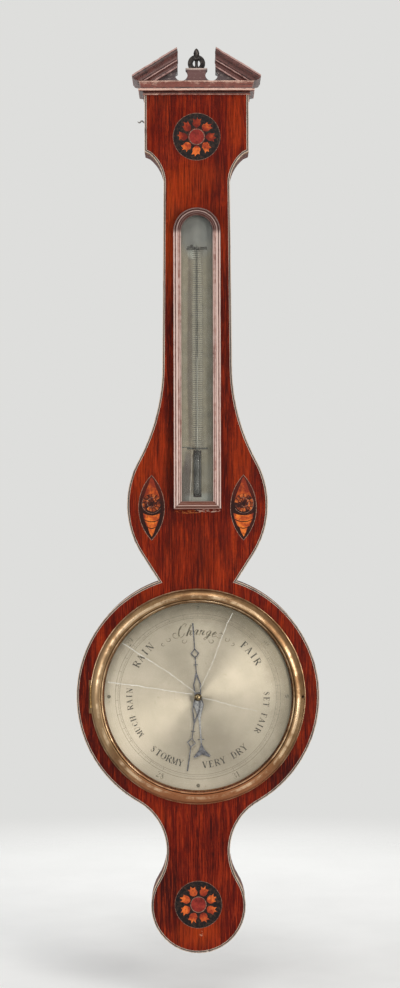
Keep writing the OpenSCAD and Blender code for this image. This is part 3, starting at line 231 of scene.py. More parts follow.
def wood(name, dark, mid, light, grain=1.0, along="z", rough=0.42, coat=0.3, pores=0.5, bump=0.25):
    """Straight-grained wood with broad bands, fine streaks and short dark pores."""
    look = Look(name, rough=rough, coat=coat, coat_rough=0.16)

    def fibres(across, length, detail, noise_rough=0.5, distort=0.0, offset=(0, 0, 0)):
        a, b = 1000 / (across * grain), 1000 / (length * grain)
        if along == "run":
            where = look.run(b, a)
        else:
            where = look.at((b, a, a) if along == "x" else (a, a, b), offset)
        return look.noise(where, detail, noise_rough, distort)

    fine = fibres(1.0, 60, 5, 0.65, 0.4)
    streaks = fibres(3.2, 130, 4, 0.6, 0.5, (5, 2, 1))
    broad = fibres(13, 260, 3, 0.5, 0.3, (3, 1, 7))
    ripple = fibres(12, 4, 2, 0.5, 0.4, (9, 0, 2))
    pore = fibres(0.42, 6, 2, 0.5, 0.0, (1, 5, 3))
    tone = look.times(fine, 0.34)
    for part, share in ((streaks, 0.34), (broad, 0.24), (ripple, 0.08)):
        tone = look.plus(tone, look.times(part, share))
    look.paint(look.ramp(tone, (0.405, dark), (0.475, mid), (0.525, mid), (0.6, light)))
    open_pore = look.ease(pore, 0.56, 0.66, 0, pores)
    look.tint(dark, open_pore)
    look.bump(look.less(look.times(fine, 0.4), open_pore), bump, 0.00012)
    return look


# The front veneer: red mahogany under old varnish, with dark stains, painted shadow beside the thermometer's frame,
# and rubbed lights
look = veneer = wood("mahogany_veneer", (38, 6, 3), (99, 21, 7), (148, 47, 14), coat=0.04, pores=0.7)
look.set("Specular IOR Level", 0.07)
look.tint((158, 52, 12), look.cloud((26, 26, 9), 3, offset=(4, 0, 1)), 0.52, 0.68, 0, 0.45)
look.tint((82, 11, 6), look.cloud((20, 20, 7), 2, offset=(8, 0, 5)), 0.5, 0.66, 0, 0.45)
# Dark stains; the long strips at x -27, 30 and -29 are painted shadow of the thermometer's frame
for x, z, rx, rz, share in [
    (-27, -300, 7, 150, 0.55), (30, -320, 6, 150, 0.5), (-18, -168, 12, 12, 0.6),
    (16, -172, 12, 12, 0.45), (-29, -470, 5, 70, 0.5), (-40, -40, 16, 13, 0.5),
    (46, -128, 10, 12, 0.3), (98, -780, 26, 40, 0.85), (-98, -760, 22, 46, 0.6),
    (-122, -690, 12, 80, 0.6), (118, -650, 9, 60, 0.3), (-38, -895, 15, 36, 0.85),
    (4, -540, 6, 40, 0.45), (6, -130, 3, 30, 0.4), (55, -495, 12, 10, 0.3),
]:
    look.stain_or_shade((40, 8, 7), share, x, z, rx, rz, 1.2, 0.35)
for x, z, rx, rz, share in [
    (-14, -200, 14, 22, 0.2), (-29, -190, 5, 60, 0.55), (0, -545, 40, 45, 0.1), (-2, -938, 20, 14, 0.38),
    (42, -70, 9, 30, 0.25), (-16, -150, 9, 26, 0.3), (-60, -440, 10, 50, 0.25), (0, -130, 27, 17, 0.25),
    (-40, -430, 14, 40, 0.2), (46, -436, 12, 40, 0.25),
]:
    look.stain_or_shade((176, 64, 15), share, x, z, rx, rz, 1.2, 0.3)
for across, along, dark, light in ((260, 24, 0.5, 0.45), (800, 30, 0.7, 0.55)):
    figure = look.cloud((across, across, along), 5, 0.7, 0.5, (1, 6, 2))
    look.tint((50, 9, 6), figure, 0.5, 0.36, 0, dark)
    look.tint((160, 52, 20), figure, 0.52, 0.66, 0, light)
# Painted shade in the recess behind the thermometer's bulb, and the chips below its box and at the foot
look.stain_or_shade((38, 34, 34), 0.92, 0, -447.5, 9, 40, 0.1, 0)
flakes = look.ease(look.cloud((230, 230, 520), 5, 0.75), 0.5, 0.55)
for x, z, rx, rz, bare in [
    (12, -486.6, 13, 2.0, (206, 168, 150)), (-13, -487.6, 12, 2.2, (170, 96, 52)), (3, -939, 2, 3, (172, 122, 98)),
]:
    chip = look.times(look.blob(x, z, rx, rz, 0.4, 0.5), flakes)
    look.tint(bare, look.times(chip, 0.85))
look.set("Roughness", look.ease(look.cloud((60, 60, 40), 4), 0.3, 0.75, 0.3, 0.52))

case_wood = wood("case_wood", (50, 18, 12), (86, 34, 20), (118, 52, 30), 1.2, rough=0.55, coat=0)
case_wood.set("Specular IOR Level", 0.2)
deal = wood("deal", (112, 78, 46), (158, 120, 78), (190, 152, 104), 1.8, rough=0.75, coat=0, pores=0.25)
door_wood = wood("door_wood", (70, 34, 20), (112, 62, 36), (142, 86, 52), 1.5, rough=0.6, coat=0.05)


def worn_and_shaded_wood(name, deep, body, worn_and_lit, rough=0.5, coat=0.1, pale=0.5):
    """Moulding wood: deep in its grooves, which is painted shade, and rubbed pale on its edges, which is wear with
    painted highlight.
    """
    lighter = tuple(min(255, int(v * 1.25)) for v in body)
    look = wood(name, deep, body, lighter, 0.8, "run", rough, coat, 0.5, 0.35)
    edge = look.sway(look.shade(), look.cloud(190, 4, 0.65), 0.9)
    edge = look.sway(edge, look.noise(look.run(18, 900), 4, 0.6), 1.1)
    # Pale on the proud edges: wear and painted highlight; deep in the grooves: painted shade
    look.tint(worn_and_lit, edge, pale, pale + 0.35, 0, 0.9)
    look.tint(deep, edge, 0.26, 0.02, 0, 0.85)
    look.set("Roughness", look.ease(edge, 0.2, 0.9, rough - 0.08, rough + 0.2))
    return look


# The cornices and the thermometer's frame: painted shade in their grooves, wear and painted highlight on their edges
cornice_look = worn_and_shaded_wood("cornice_worn_and_shaded", (36, 12, 9), (114, 58, 46), (208, 172, 154), pale=0.52)
rake_look = worn_and_shaded_wood("rake_worn_and_shaded", (30, 13, 12), (90, 50, 44), (172, 138, 130), pale=0.53)

# The thermometer's frame: dark round its arch and along its sill, with a seam at each mitre
look = box_look = worn_and_shaded_wood("box_frame_worn_and_shaded", (66, 30, 25), (158, 112, 100), (208, 184, 174), 0.4, 0.03, 0.42)
look.set("Specular IOR Level", 0.25)
arch = look.ease(look.axis("Z"), -192.5, -186.5, 0, 0.86)
look.tint((66, 28, 22), look.times(arch, look.ease(look.shade(), 0.96, 0.89)))
inwards = look.less(BOX_HALF, look.math("ABSOLUTE", look.axis("X")))
mitre = look.less(inwards, look.less(look.axis("Z"), BOX_END))
sill = look.ease(mitre, -0.1, 0.1, 0, 0.85)
look.tint((104, 56, 38), look.times(sill, look.ease(look.shade(), 0.99, 0.85)))
look.tint((52, 26, 20), look.math("ABSOLUTE", mitre), 0.45, 0.15, 0, 0.8)

look = grey_wood = wood("weathered_wood", (40, 32, 32), (76, 62, 62), (128, 112, 108), 1.0, "x", 0.75, 0, 0.4, 0.5)
look.tint((186, 170, 160), look.cloud((160, 400, 500), 4, 0.7, offset=(1, 2, 3)), 0.55, 0.68, 0, 0.75)
look.stain_or_shade((104, 62, 56), 0.55, 0, -20, 11, 9, 0.3, 0.2)
look.stain_or_shade((190, 172, 160), 0.7, 0, -13.6, 13, 1.0, 0.3, 0.1)

box_line = wood("boxwood_line", (116, 98, 84), (182, 162, 144), (216, 200, 180), 0.5, rough=0.45, coat=0.1, pores=0.3)
box_line.tint((84, 40, 30), box_line.cloud((300, 300, 55), 3), 0.57, 0.68, 0, 0.6)
ebony_line = wood("ebony_line", (14, 10, 10), (30, 22, 20), (54, 38, 32), 0.5, rough=0.4, coat=0.25)

# Inlay woods
look = ground_look = Look("inlay_ground", rough=0.5, Specular_IOR_Level=0.15)
mottle = look.cloud(330, 5, 0.7, 0.6)
look.paint(look.ramp(
    mottle, (0.36, (10, 7, 8)), (0.5, (22, 15, 15)), (0.6, (48, 36, 28)), (0.68, (68, 38, 26))))
look.bump(mottle, 0.2)
shell_ground = wood("shell_ground", (20, 10, 9), (36, 15, 11), (62, 24, 14), 0.8, rough=0.46, coat=0)
shell_ground.set("Specular IOR Level", 0.12)
shell_ground.tint((98, 32, 20), shell_ground.axis("Z"), -482, -462, 0, 0.4)


def inlay_wood(name, deep, body, bright):
    """Satinwood, scorched in hot sand on one side, each piece with its own tone."""
    look = Look(name, rough=0.48, coat=0.02, Specular_IOR_Level=0.15)
    grain = look.cloud((1300, 1300, 220), 4, 0.6)
    tone = look.plus(look.times(grain, 0.35), look.times(look.shade(), 0.6))
    tone = look.sway(tone, look.cloud(130, 3, 0.6, offset=(7, 1, 2)), 1.3)
    look.paint(look.ramp(tone, (0.2, deep), (0.5, body), (0.78, bright)))
    look.tint((84, 28, 16), look.cloud((420, 420, 300), 4, 0.7, 0.2, (2, 4, 6)), 0.5, 0.66, 0, 0.6)
    look.bump(grain, 0.15)
    return look


petal_look = inlay_wood("petal_wood", (98, 24, 15), (150, 54, 26), (208, 100, 40))
shell_look = inlay_wood("shell_wood", (122, 40, 20), (182, 80, 30), (216, 114, 42))
whorl_look = inlay_wood("whorl_wood", (44, 17, 13), (134, 58, 28), (192, 100, 46))
eye_look = inlay_wood("eye_wood", (92, 24, 20), (130, 38, 32), (150, 56, 36))
pale_line = mottled("pale_line", 500, (0.4, (78, 46, 37)), (0.6, (152, 112, 90)), rough=0.45, coat=0.2)


def metal(name, deep, body, bright, rough=(0.25, 0.5), metallic=1.0, scale=160, scratch=0.12):
    """Old metal: patchy tarnish, fine scratches and an uneven polish."""
    look = Look(name, metal=metallic)
    look.patch = look.cloud(scale, 5, 0.62, 0.3)
    fine = look.cloud(1500, 2, 0.5)
    look.paint(look.ramp(look.sway(look.patch, fine, 0.25), (0.3, deep), (0.5, body), (0.68, bright)))
    look.set("Roughness", look.ease(look.patch, 0.3, 0.7, rough[1], rough[0]))
    look.bump(look.plus(look.times(look.patch, 0.6), fine), scratch, 0.0001)
    return look


brass = metal("old_brass", (110, 76, 44), (176, 136, 84), (214, 178, 118), (0.28, 0.5))
small_brass = metal("small_brass", (92, 64, 36), (168, 130, 76), (222, 190, 128), (0.2, 0.4), scale=400)
iron = metal("dark_iron", (26, 24, 24), (52, 48, 46), (84, 76, 70), (0.4, 0.65), 0.8, 300)
steel = metal("blued_steel", (58, 57, 58), (86, 86, 91), (126, 126, 130), (0.4, 0.6), 0.3, 350)
bright_steel = metal("bright_steel", (112, 112, 114), (152, 152, 152), (186, 184, 180), (0.3, 0.55), 0.4, 500)
clip_wire = metal("wire", (46, 44, 40), (58, 55, 50), (74, 71, 64), (0.45, 0.6), 0.4, 200)
dull_screw = metal("dial_screw", (74, 70, 60), (110, 104, 90), (150, 144, 126), (0.35, 0.55), 0.5, 600)
# The knob's brass is painted dark: a painted reflection of dark surroundings
knob_brass = metal("knob_brass", (54, 46, 33), (94, 80, 58), (148, 132, 102), (0.12, 0.2), 1.0, 240, 0.02)
hook_steel = metal("hook_steel", (150, 148, 142), (196, 194, 188), (228, 226, 220), (0.3, 0.5), 0.2, 500)
mercury = mottled("mercury", (60, 60, 30), (0.3, (150, 152, 158)), (0.7, (206, 208, 214)), detail=2, rough=0.08,
                  metal=1.0)
# The thermometer's mercury: painted dark in the bulb, a painted reflection of dark surroundings, and paler in the stem
# above it
dark_mercury = mottled("bulb_mercury", (90, 90, 40), (0.35, (16, 12, 12)), (0.65, (34, 28, 26)), rough=0.3, metal=0.3)
dark_mercury.tint((138, 136, 127), dark_mercury.axis("Z"), -421.6, -420.0)
silk = Look("silk", rough=0.8)
strands = silk.node("TexWave", {"Vector": silk.at(1), "Scale": 900}, wave_type="BANDS", bands_direction="DIAGONAL")
silk.paint(silk.ramp(strands.outputs["Fac"], (0.2, (150, 138, 112)), (0.8, (214, 204, 176))))

# The bezel: lacquered brass, rubbed bright in places, brown below, with a painted highlight down its left side
look = bezel_look = metal("bezel_brass", (98, 70, 44), (123, 94, 62), (152, 122, 87), (0.26, 0.38), 0.8, scale=50)
look.stain_or_shade((166, 98, 62), 0.55, 20, -800, 110, 46, 1.2, 0.3)
flaked = look.ease(look.cloud((260, 260, 700), 4, 0.7), 0.5, 0.58)
flaked = look.times(look.blob(6, -572, 84, 14, 0.6, 0.5), flaked)
look.tint((96, 66, 40), look.times(flaked, 0.7))
look.tint((128, 84, 56), look.noise(look.run(9, 1500), 3, 0.6), 0.56, 0.66, 0, 0.35)
look.tint((58, 38, 26), look.shade(), 0.22, 0.02, 0, 0.85)
rub = look.times(look.ease(look.shade(), 0.72, 0.9), look.ease(look.patch, 0.42, 0.6))
look.tint((236, 208, 172), look.times(rub, 0.5))
# Painted highlight down the bezel's left side
look.stain_or_shade((212, 184, 142), 0.2, -108, -690, 17, 78, 1.1, 0.3)

# The dial: silvered brass, brushed round its centre, tarnished at its rim, with painted shadow of the bezel on its
# upper right, and darker round its hub
look = dial_look = Look("silvered_dial", rough=0.42, metal=0.6, Anisotropic=0.9, Anisotropic_Rotation=0.25)
look.set("Tangent", look.node("Tangent", direction_type="RADIAL", axis="Y").outputs["Tangent"])
radius = look.reach(look.at((1000, 0, 1000), (0, 0, -DIAL_Z)))
brushed = look.node("TexNoise", {"Scale": 2.2, "Detail": 5}, noise_dimensions="1D")
look.put(brushed.inputs["W"], radius)
brushed = brushed.outputs["Fac"]
stain_or_shade = look.cloud(160, 5, 0.7, offset=(3, 3, 3))
tone = look.plus(look.times(brushed, 0.5), look.times(look.cloud(34, 4, 0.6), 0.5))
look.paint(look.ramp(tone, (0.38, (177, 167, 149)), (0.5, (187, 177, 158)), (0.62, (196, 185, 167))))
# The rim's darkening is centred below and left of the dial's centre, so it is deepest at the upper right: tarnish,
# with painted shadow of the bezel there
rim = look.reach(look.at((1000, 0, 1000), (11, 0, -DIAL_Z + 14)))
look.tint((112, 104, 86), look.sway(rim, stain_or_shade, 14), 80, 116, 0, 0.85)
look.tint((136, 128, 112), look.plus(radius, look.times(stain_or_shade, 6)), 25, 9, 0, 0.42)
look.tint((146, 136, 110), stain_or_shade, 0.62, 0.74, 0, 0.45)
look.stain_or_shade((120, 110, 95), 0.35, 12, -742, 40, 26, 1.1, 0.15)
look.bump(brushed, 0.12, 0.0001)

# The thermometer's scale: greenish silver, with a painted reflection that makes it lighter down its left side and
# darker down its right, painted shadow of the tube, painted reflection left of the bulb, and old marks
look = scale_look = metal("scale_plate", (107, 98, 80), (128, 117, 97), (146, 135, 115), (0.35, 0.5), 0.15, 90)
x_mm = look.axis("X")
# Painted reflection: darker down the right side, lighter down the left
look.tint((104, 102, 88), x_mm, 1.5, 7.0, 0, 0.5)
look.tint((164, 156, 136), x_mm, -9, -14, 0, 0.35)
look.stain_or_shade((198, 202, 190), 0.6, -4, -212, 6, 5, 0.5, 0.4)
look.stain_or_shade((160, 154, 138), 0.5, 0.3, -312, 5.2, 140, 0.15, 0)
# Painted reflection left of the bulb, in the next two lines
look.stain_or_shade((64, 54, 54), 0.75, -12, -458, 6, 26, 0.8, 0.5)
look.stain_or_shade((88, 76, 72), 0.7, -10, -436, 4, 13, 0.8, 0.5)
look.stain_or_shade((150, 156, 152), 0.5, 2, -474, 14, 6, 0.9, 0.4)
# Painted shadow of the tube, down its left side
look.stain_or_shade((86, 74, 64), 0.75, -7.8, -318, 2.5, 112, 0.6, 0.3)
look.stain_or_shade((100, 103, 103), 0.75, 0, -184, 26, 26, 0.9, 0.3)

WORN = dict(detail=4, noise_rough=0.7, rough=0.6)
ink = mottled("engraved_ink", 420, (0.42, (44, 40, 36)), (0.56, (84, 78, 66)), (0.68, (160, 152, 128)), **WORN)
rung_ink = mottled("rung_ink", 240, (0.35, (80, 77, 69)), (0.65, (112, 108, 96)), rough=0.6)
script_ink = mottled("script_ink", 300, (0.4, (86, 78, 64)), (0.56, (120, 112, 92)), (0.68, (186, 178, 152)),
                     offset=(2, 2, 2), **WORN)
faint_ink = mottled("faint_ink", 300, (0.35, (84, 78, 64)), (0.6, (126, 118, 98)), (0.7, (164, 154, 130)), **WORN)
crack_look = mottled("crack", 200, (0.35, (216, 212, 198)), (0.65, (248, 246, 238)), rough=0.5, Alpha=0.66)
box_crack = mottled("box_crack", 200, (0.35, (176, 170, 158)), (0.65, (214, 208, 198)), rough=0.5)
box_crack.set("Alpha", box_crack.ease(box_crack.axis("Z"), -432, -462, 0.22, 0.6))


def pane(name, tint, gloss, milk, rough=0.04):
    """Clear glass: what is behind it shows, and it gives back a little light."""
    look = Look(name, rough=rough)
    dust = look.cloud(60, 4, 0.6)
    look.paint(look.ramp(dust, (0.3, (186, 188, 180)), (0.7, (222, 224, 214))))
    facing = look.node("LayerWeight", {"Blend": 0.5}).outputs["Facing"]
    share = look.times(look.math("POWER", facing, 3), gloss)
    look.see_through(look.plus(share, look.ease(dust, 0.3, 0.7, milk * 0.6, milk * 1.4), clamp=True), tint)
    return look


dial_glass = pane("dial_glass", (0.99, 0.99, 0.985, 1), 0.4, 0.008)
box_glass = pane("box_glass", (0.985, 0.99, 0.985, 1), 0.4, 0.03)
tube_glass = pane("tube_glass", (0.97, 0.98, 0.97, 1), 0.7, 0.02, 0.06)
stem_glass = pane("stem_glass", (0.99, 0.99, 0.985, 1), 0.25, 0.02, 0.06)

for look, names in [
    (veneer, "front_veneer"), (deal, "front_board"), (door_wood, "rear_door"), (grey_wood, "tympanum"),
    (case_wood, "left_case_side right_case_side head_block foot_block"), (box_line, "box_lines pulley_wheel"),
    (ebony_line, "ebony_line"), (iron, "finial bridge_screws hanging_plate"), (dial_look, "dial_plate"),
    (dull_screw, "dial_screws"), (bezel_look, "bezel"), (dial_glass, "bezel_glass"), (knob_brass, "set_hand_knob"),
    (small_brass, "bezel_glass_ring bezel_hinge_fixed_leaf bezel_hinge_moving_leaf bezel_hinge_pin arbor_bush"
                  " counterweight wood_screws"),
    (steel, "set_hand indicating_hand hand_arbor"), (silk, "float_thread counterweight_thread"),
    (brass, "movement_bridge siphon_straps door_hinge_fixed_leaves door_hinge_moving_leaves door_hinge_pins"
            " turn_button"),
    (tube_glass, "float siphon_tube"), (mercury, "short_limb_mercury column_mercury"),
    (box_glass, "thermometer_glass"), (scale_look, "thermometer_scale"), (stem_glass, "thermometer_tube"),
    (dark_mercury, "thermometer_mercury"), (clip_wire, "thermometer_clips"),
]:
    for name in names.split():
        mesh = nodes[name].data
        mesh.materials.clear()
        mesh.materials.append(look.mat)


# ---------- mouldings ----------
def piece(name, verts, faces, look, body="case", gone=(), shades=None, runs=None, smooth=True, angle=35):
    """A mesh that rides a body and may take the place of CAD nodes."""
    mesh = bpy.data.meshes.new(name)
    mesh.from_pydata([tuple(v) for v in verts], [], faces)
    bm = bmesh.new()
    bm.from_mesh(mesh)
    bmesh.ops.recalc_face_normals(bm, faces=bm.faces)
    bm.to_mesh(mesh)
    bm.free()
    if shades is not None:
        mesh.attributes.new("shade", "FLOAT", "POINT").data.foreach_set("value", shades)
    if runs is not None:
        flat = [value for run in runs for value in run]
        mesh.attributes.new("run", "FLOAT_VECTOR", "POINT").data.foreach_set("vector", flat)
    mesh.materials.append(look.mat)
    obj = add(name, mesh)
    if smooth:
        mesh.shade_smooth()
        mesh.set_sharp_from_angle(angle=radians(angle))
    if body:
        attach(obj, body)
    if gone:
        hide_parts(*gone)
    return obj


def loops(rows, closed_path=False):
    """Faces of a tube of rows, each a closed section of as many points, with flat ends unless the path closes."""
    n, faces = len(rows[0]), []
    last = len(rows) if closed_path else len(rows) - 1
    for i in range(last):
        a, b = i * n, (i + 1) % len(rows) * n
        for j in range(n):
            k = (j + 1) % n
            faces.append((a + j, a + k, b + k, b + j))
    if not closed_path:
        faces.append(tuple(range(n)))
        faces.append(tuple(range((len(rows) - 1) * n, len(rows) * n)))
    return faces


def circle(n):
    """n angles, evenly round."""
    return [2 * pi * i / n for i in range(n)]


WEAR_PATCH = 0.006


def rubbed(v, amount):
    """v moved a little, as hands and time wear an edge."""
    return v + noise.noise_vector(v / WEAR_PATCH) * amount


def moulding(name, section, stations, place, look, gone, closed=False, wear=0.00012, body="case"):
    """section is [(out, down, shade)]; place(out, down, station) gives a point."""
    verts, shades, runs, rows = [], [], [], []
    middle = section[len(section) // 2]
    along, before = rng.uniform(0, 5), None
    for s in stations:
        here = place(middle[0], middle[1], s)
        along += (here - before).length if before else 0
        before = here
        row, across = [], 0
        for i, (out, down, shade) in enumerate(section):
            if i:
                across += hypot(out - section[i - 1][0], down - section[i - 1][1]) * 0.001
            row.append(rubbed(place(out, down, s), wear * (0.4 + 1.6 * max(0, shade))))
            shades.append(shade)
            runs.append((along, across, 0))
        rows.append(row)
        verts += row
    return piece(name, verts, loops(rows, closed), look, body, gone, shades, runs, angle=28)


def curve_between(a, b, n, bend):
    """n steps from a to b, [out, down, shade], along an S that bulges by bend."""
    curve = []
    for t in [i / n for i in range(n + 1)]:
        s = t - bend * sin(2 * pi * t)
        curve.append((a[0] + (b[0] - a[0]) * s, a[1] + (b[1] - a[1]) * t, a[2] + (b[2] - a[2]) * t))
    return curve


# Horizontal cornice: out from the head, height above its own foot
CORNICE_HEIGHT = 14.5
# Each point's third value is its shade: low values give painted shade, high values wear and painted highlight
h_section = [
    (0, 0, 0.2), (1.2, 0, 0.5), (1.75, 0.5, 0.65), (1.8, 1.3, 0.7), (1.3, 1.9, 0.25), (1.0, 2.2, 0.0),
    (1.1, 2.8, 0.0), (2.2, 3.3, 0.0), (4.2, 3.55, 0.05), (5.9, 3.9, 0.3), (6.3, 4.3, 0.9), (6.35, 5.2, 0.95),
    (6.1, 6.1, 0.85), (4.6, 6.5, 0.3), (3.5, 6.8, 0.0), (3.35, 7.4, 0.05), (3.5, 8.2, 0.35), (3.8, 9.6, 0.47),
    (4.3, 11.2, 0.52), (4.9, 12.6, 0.56), (5.5, 13.6, 0.66), (5.8, 14.1, 0.85), (5.8, 14.45, 0.9), (0, 14.45, 0.3)]


def h_place(out, up, s):
    side, t = s
    if side == "front":
        x, depth = (2 * t - 1) * (HALF_HEAD + out), FACE + out
    else:
        x = (HALF_HEAD + out) * (-1 if side == "left" else 1)
        depth = (FACE + out) * t
    return point(x, depth, HEAD_TOP - CORNICE_HEIGHT + up + 0.02)


h_stations = [("left", i / 14) for i in range(14)] + [("front", i / 70) for i in range(71)]
h_stations += [("right", 1 - i / 14) for i in range(1, 15)]
moulding("horizontal_cornice_moulding", h_section, h_stations, h_place, cornice_look,
         ["horizontal_cornice"])

# Raking cornices: out from the face, distance below the top edge square to the slope
SLOPE = radians(31.5)
RAKE_X, RAKE_Z, RAKE_GAP = 68.8, -22.3, 20.4
RAKE_OUT, RAKE_DEEP, RETURN_BACK = 13, 17.4, 3
r_section = [(-37, 0, 0.3), (-20, 0, 0.3), (0, 0, 0.4), (8, 0, 0.5), (12.7, 0, 0.85), (RAKE_OUT, 0.3, 0.95),
             (RAKE_OUT, 1.5, 0.9), (12.7, 1.8, 0.5)]
r_section += curve_between((12.2, 2.1, 0.12), (7.0, 9.3, 0.3), 9, 0.13)
r_section += [
    (6.5, 9.7, 0.02), (6.45, 10.1, 0.1), (6.95, 10.5, 0.7), (7.1, 11.0, 0.85), (6.8, 11.6, 0.6), (6.0, 11.9, 0.02),
    (5.4, 12.2, 0.1), (4.5, 12.8, 0.3), (3.8, 13.7, 0.36), (3.4, 14.7, 0.3), (3.2, 15.1, 0.02), (3.8, 15.4, 0.5),
    (4.0, 15.8, 0.8), (4.0, 16.8, 0.8), (3.8, RAKE_DEEP, 0.4), (0, RAKE_DEEP, 0.2), (-37, RAKE_DEEP, 0.1)]


def rake_place(sign):
    def place(out, down, s):
        where, t = s
        if where == "run":
            reach = HALF_HEAD + max(out, 0)
            x = RAKE_GAP + (reach - RAKE_GAP) * t
            sawn = 0.5 * sin(down * 0.8) + 0.35 * sin(down * 2.1 + 1)
            x += sawn * max(0, 1 - 5 * t) * (1 if out > 0 else 0)
            depth, fall = FACE + out, RAKE_X - x
        else:
            x = HALF_HEAD + max(out, 0)
            depth, fall = (FACE + out) + (RETURN_BACK - FACE - out) * t, RAKE_OUT - max(out, 0)
        z = RAKE_Z + fall * tan(SLOPE) - down / cos(SLOPE)
        return point(sign * x, max(depth, RETURN_BACK), max(z, HEAD_TOP + 0.02))

    return place


back_section = [(0, 0, 0.3)] + [p for p in r_section if p[0] > 0] + [(0, RAKE_DEEP, 0.2)]
for side, sign in (("left", -1), ("right", 1)):
    moulding(side + "_rake_moulding", r_section, [("run", i / 44) for i in range(45)], rake_place(sign), rake_look,
             [side + "_raking_cornice"], wear=0.00018)
    moulding(side + "_rake_return", back_section, [("return", i / 14) for i in range(15)], rake_place(sign), rake_look,
             [], wear=0.00018)

# Thermometer frame: inwards from the outer edge, and depth
t_section = [
    (0, 40.02, 0.3), (0, 51.6, 0.4), (0.35, 52.6, 0.7), (1.1, 52.95, 0.94), (1.7, 52.6, 0.6), (1.95, 51.9, 0.02),
    (2.25, 51.9, 0.05), (2.5, 53.2, 0.5), (3.1, 54.2, 0.85), (3.9, 54.6, 0.95), (4.7, 54.4, 0.8), (5.0, 53.7, 0.1),
    (5.25, 53.7, 0.05), (5.5, 54.1, 0.5), (6.1, 54.3, 0.8), (6.6, 53.9, 0.55), (6.85, 53.2, 0.02), (7.15, 53.2, 0.05),
    (7.5, 53.6, 0.7), (8.1, 53.3, 0.8), (8.4, 52.6, 0.4), (8.4, 51.02, 0.1), (6.6, 51.02, 0.0), (6.6, 40.02, 0.0)]


def t_place(inset, depth, s):
    kind, t = s
    half = BOX_HALF - inset
    low = BOX_END + inset
    if kind == "left":
        return point(-half, depth, low + (ARCH_Z - low) * t)
    if kind == "arch":
        a = pi * (1 - t)
        return point(half * cos(a), depth, ARCH_Z + half * sin(a))
    if kind == "right":
        return point(half, depth, ARCH_Z + (low - ARCH_Z) * t)
    return point(half * (1 - 2 * t), depth, low)


t_stations = [("left", i / 90) for i in range(91)] + [("arch", i / 56) for i in range(1, 56)]
t_stations += [("right", i / 90) for i in range(91)] + [("foot", i / 18) for i in range(1, 18)]
moulding("thermometer_frame_moulding", t_section, t_stations, t_place, box_look,
         ["thermometer_frame"], closed=True, wear=0.0001)

# Bezel: radius from the dial's centre, and depth; its crown is an arc
CROWN_R, CROWN_DEPTH, CROWN_SIZE = 104.6, 36.9, 11.7
b_section = [(104.1, 40.05, 0), (115.3, 40.05, 0.2), (115.3, 41.3, 0.5), (115.1, 41.7, 0.85), (114.75, 41.85, 0.8),
             (114.5, 41.9, 0.05), (114.25, 42.7, 0.25)]
b_section += [(r, CROWN_DEPTH + sqrt(CROWN_SIZE ** 2 - (r - CROWN_R) ** 2), 0.5 + 0.4 * (106 < r < 110))
              for r in (113.7, 113.1, 112.4, 111.6, 110.8, 110, 109.1, 108.2, 107.3, 106.4, 105.5, 104.9)]
b_section += [(104.45, 48.45, 0.5), (104.1, 47.9, 0.1), (103.9, 47.45, 0), (103.75, 47.7, 0.1), (103.5, 48.1, 0.5),
              (103.05, 48.38, 0.85), (102.55, 48.38, 0.9), (102.1, 48.15, 0.7), (101.8, 47.7, 0.4),
              (101.72, 47.1, 0.15), (101.72, 46.12, 0), (104.1, 46.12, 0)]


def clock_place(r, a):
    return (r * sin(a), DIAL_Z + r * cos(a))


def b_place(r, depth, a):
    x, z = clock_place(r, a)
    return point(x, depth, z)


def cut(obj, name, outline, back, front):
    """Takes a prism away from a piece, and keeps its materials."""
    rows = [[point(x, depth, DIAL_Z + z) for x, z in outline] for depth in (back, front)]
    mesh = bpy.data.meshes.new(name)
    mesh.from_pydata([tuple(v) for v in rows[0] + rows[1]], [], loops(rows))
    cutter = add(name, mesh)
    boolean = obj.modifiers.new(name, "BOOLEAN")
    boolean.operation = "DIFFERENCE"
    boolean.solver = "EXACT"
    boolean.object = cutter
    bpy.context.view_layer.update()
    made = bpy.data.meshes.new_from_object(obj.evaluated_get(bpy.context.evaluated_depsgraph_get()))
    obj.modifiers.clear()
    obj.data = made
    bpy.data.objects.remove(cutter)


casting = moulding("bezel_casting", b_section, circle(240), b_place, bezel_look, ["bezel"], closed=True,
                   wear=0.000006, body="bezel")
cut(casting, "catch_hole_cutter", [(112 + 1.2 * cos(a), 1.2 * sin(a)) for a in circle(32)], 38, 50)
cut(casting, "knuckle_cutter", [(-117, -12.3), (-112.6, -12.3), (-112.6, 12.3), (-117, 12.3)], 39, 42.5)


# ---------- flat pieces ----------
def slabs(name, polygons, back, front, look, body="case", gone=(), tones=None):
    """Outlines in x and z, given thickness; tones has one shade, or one for each point, for every outline."""
    verts, faces, shades = [], [], []
    for i, outline in enumerate(polygons):
        n, first = len(outline), len(verts)
        tone = tones[i] if tones else 0.5
        for depth in (back, front):
            verts += [point(x, depth, z) for x, z in outline]
            shades += tone if isinstance(tone, list) else [tone] * n
        faces.append(tuple(range(first, first + n)))
        faces.append(tuple(range(first + n, first + 2 * n)))
        faces += [(first + j, first + (j + 1) % n, first + n + (j + 1) % n, first + n + j) for j in range(n)]
    return piece(name, verts, faces, look, body, gone, shades, None, False)


def inlay(name, polygons, front, look, gone=(), tones=None):
    slabs(name, polygons, INLAY_BACK, front, look, gone=gone, tones=tones)


def polar(cx, cz, r, a):
    return (cx + r * cos(a), cz + r * sin(a))


def curve(cx, cz, rx, rz, angles):
    return [(cx + rx * cos(a), cz + rz * sin(a)) for a in angles]


def disc(cx, cz, r, n):
    return curve(cx, cz, r, r, circle(n))


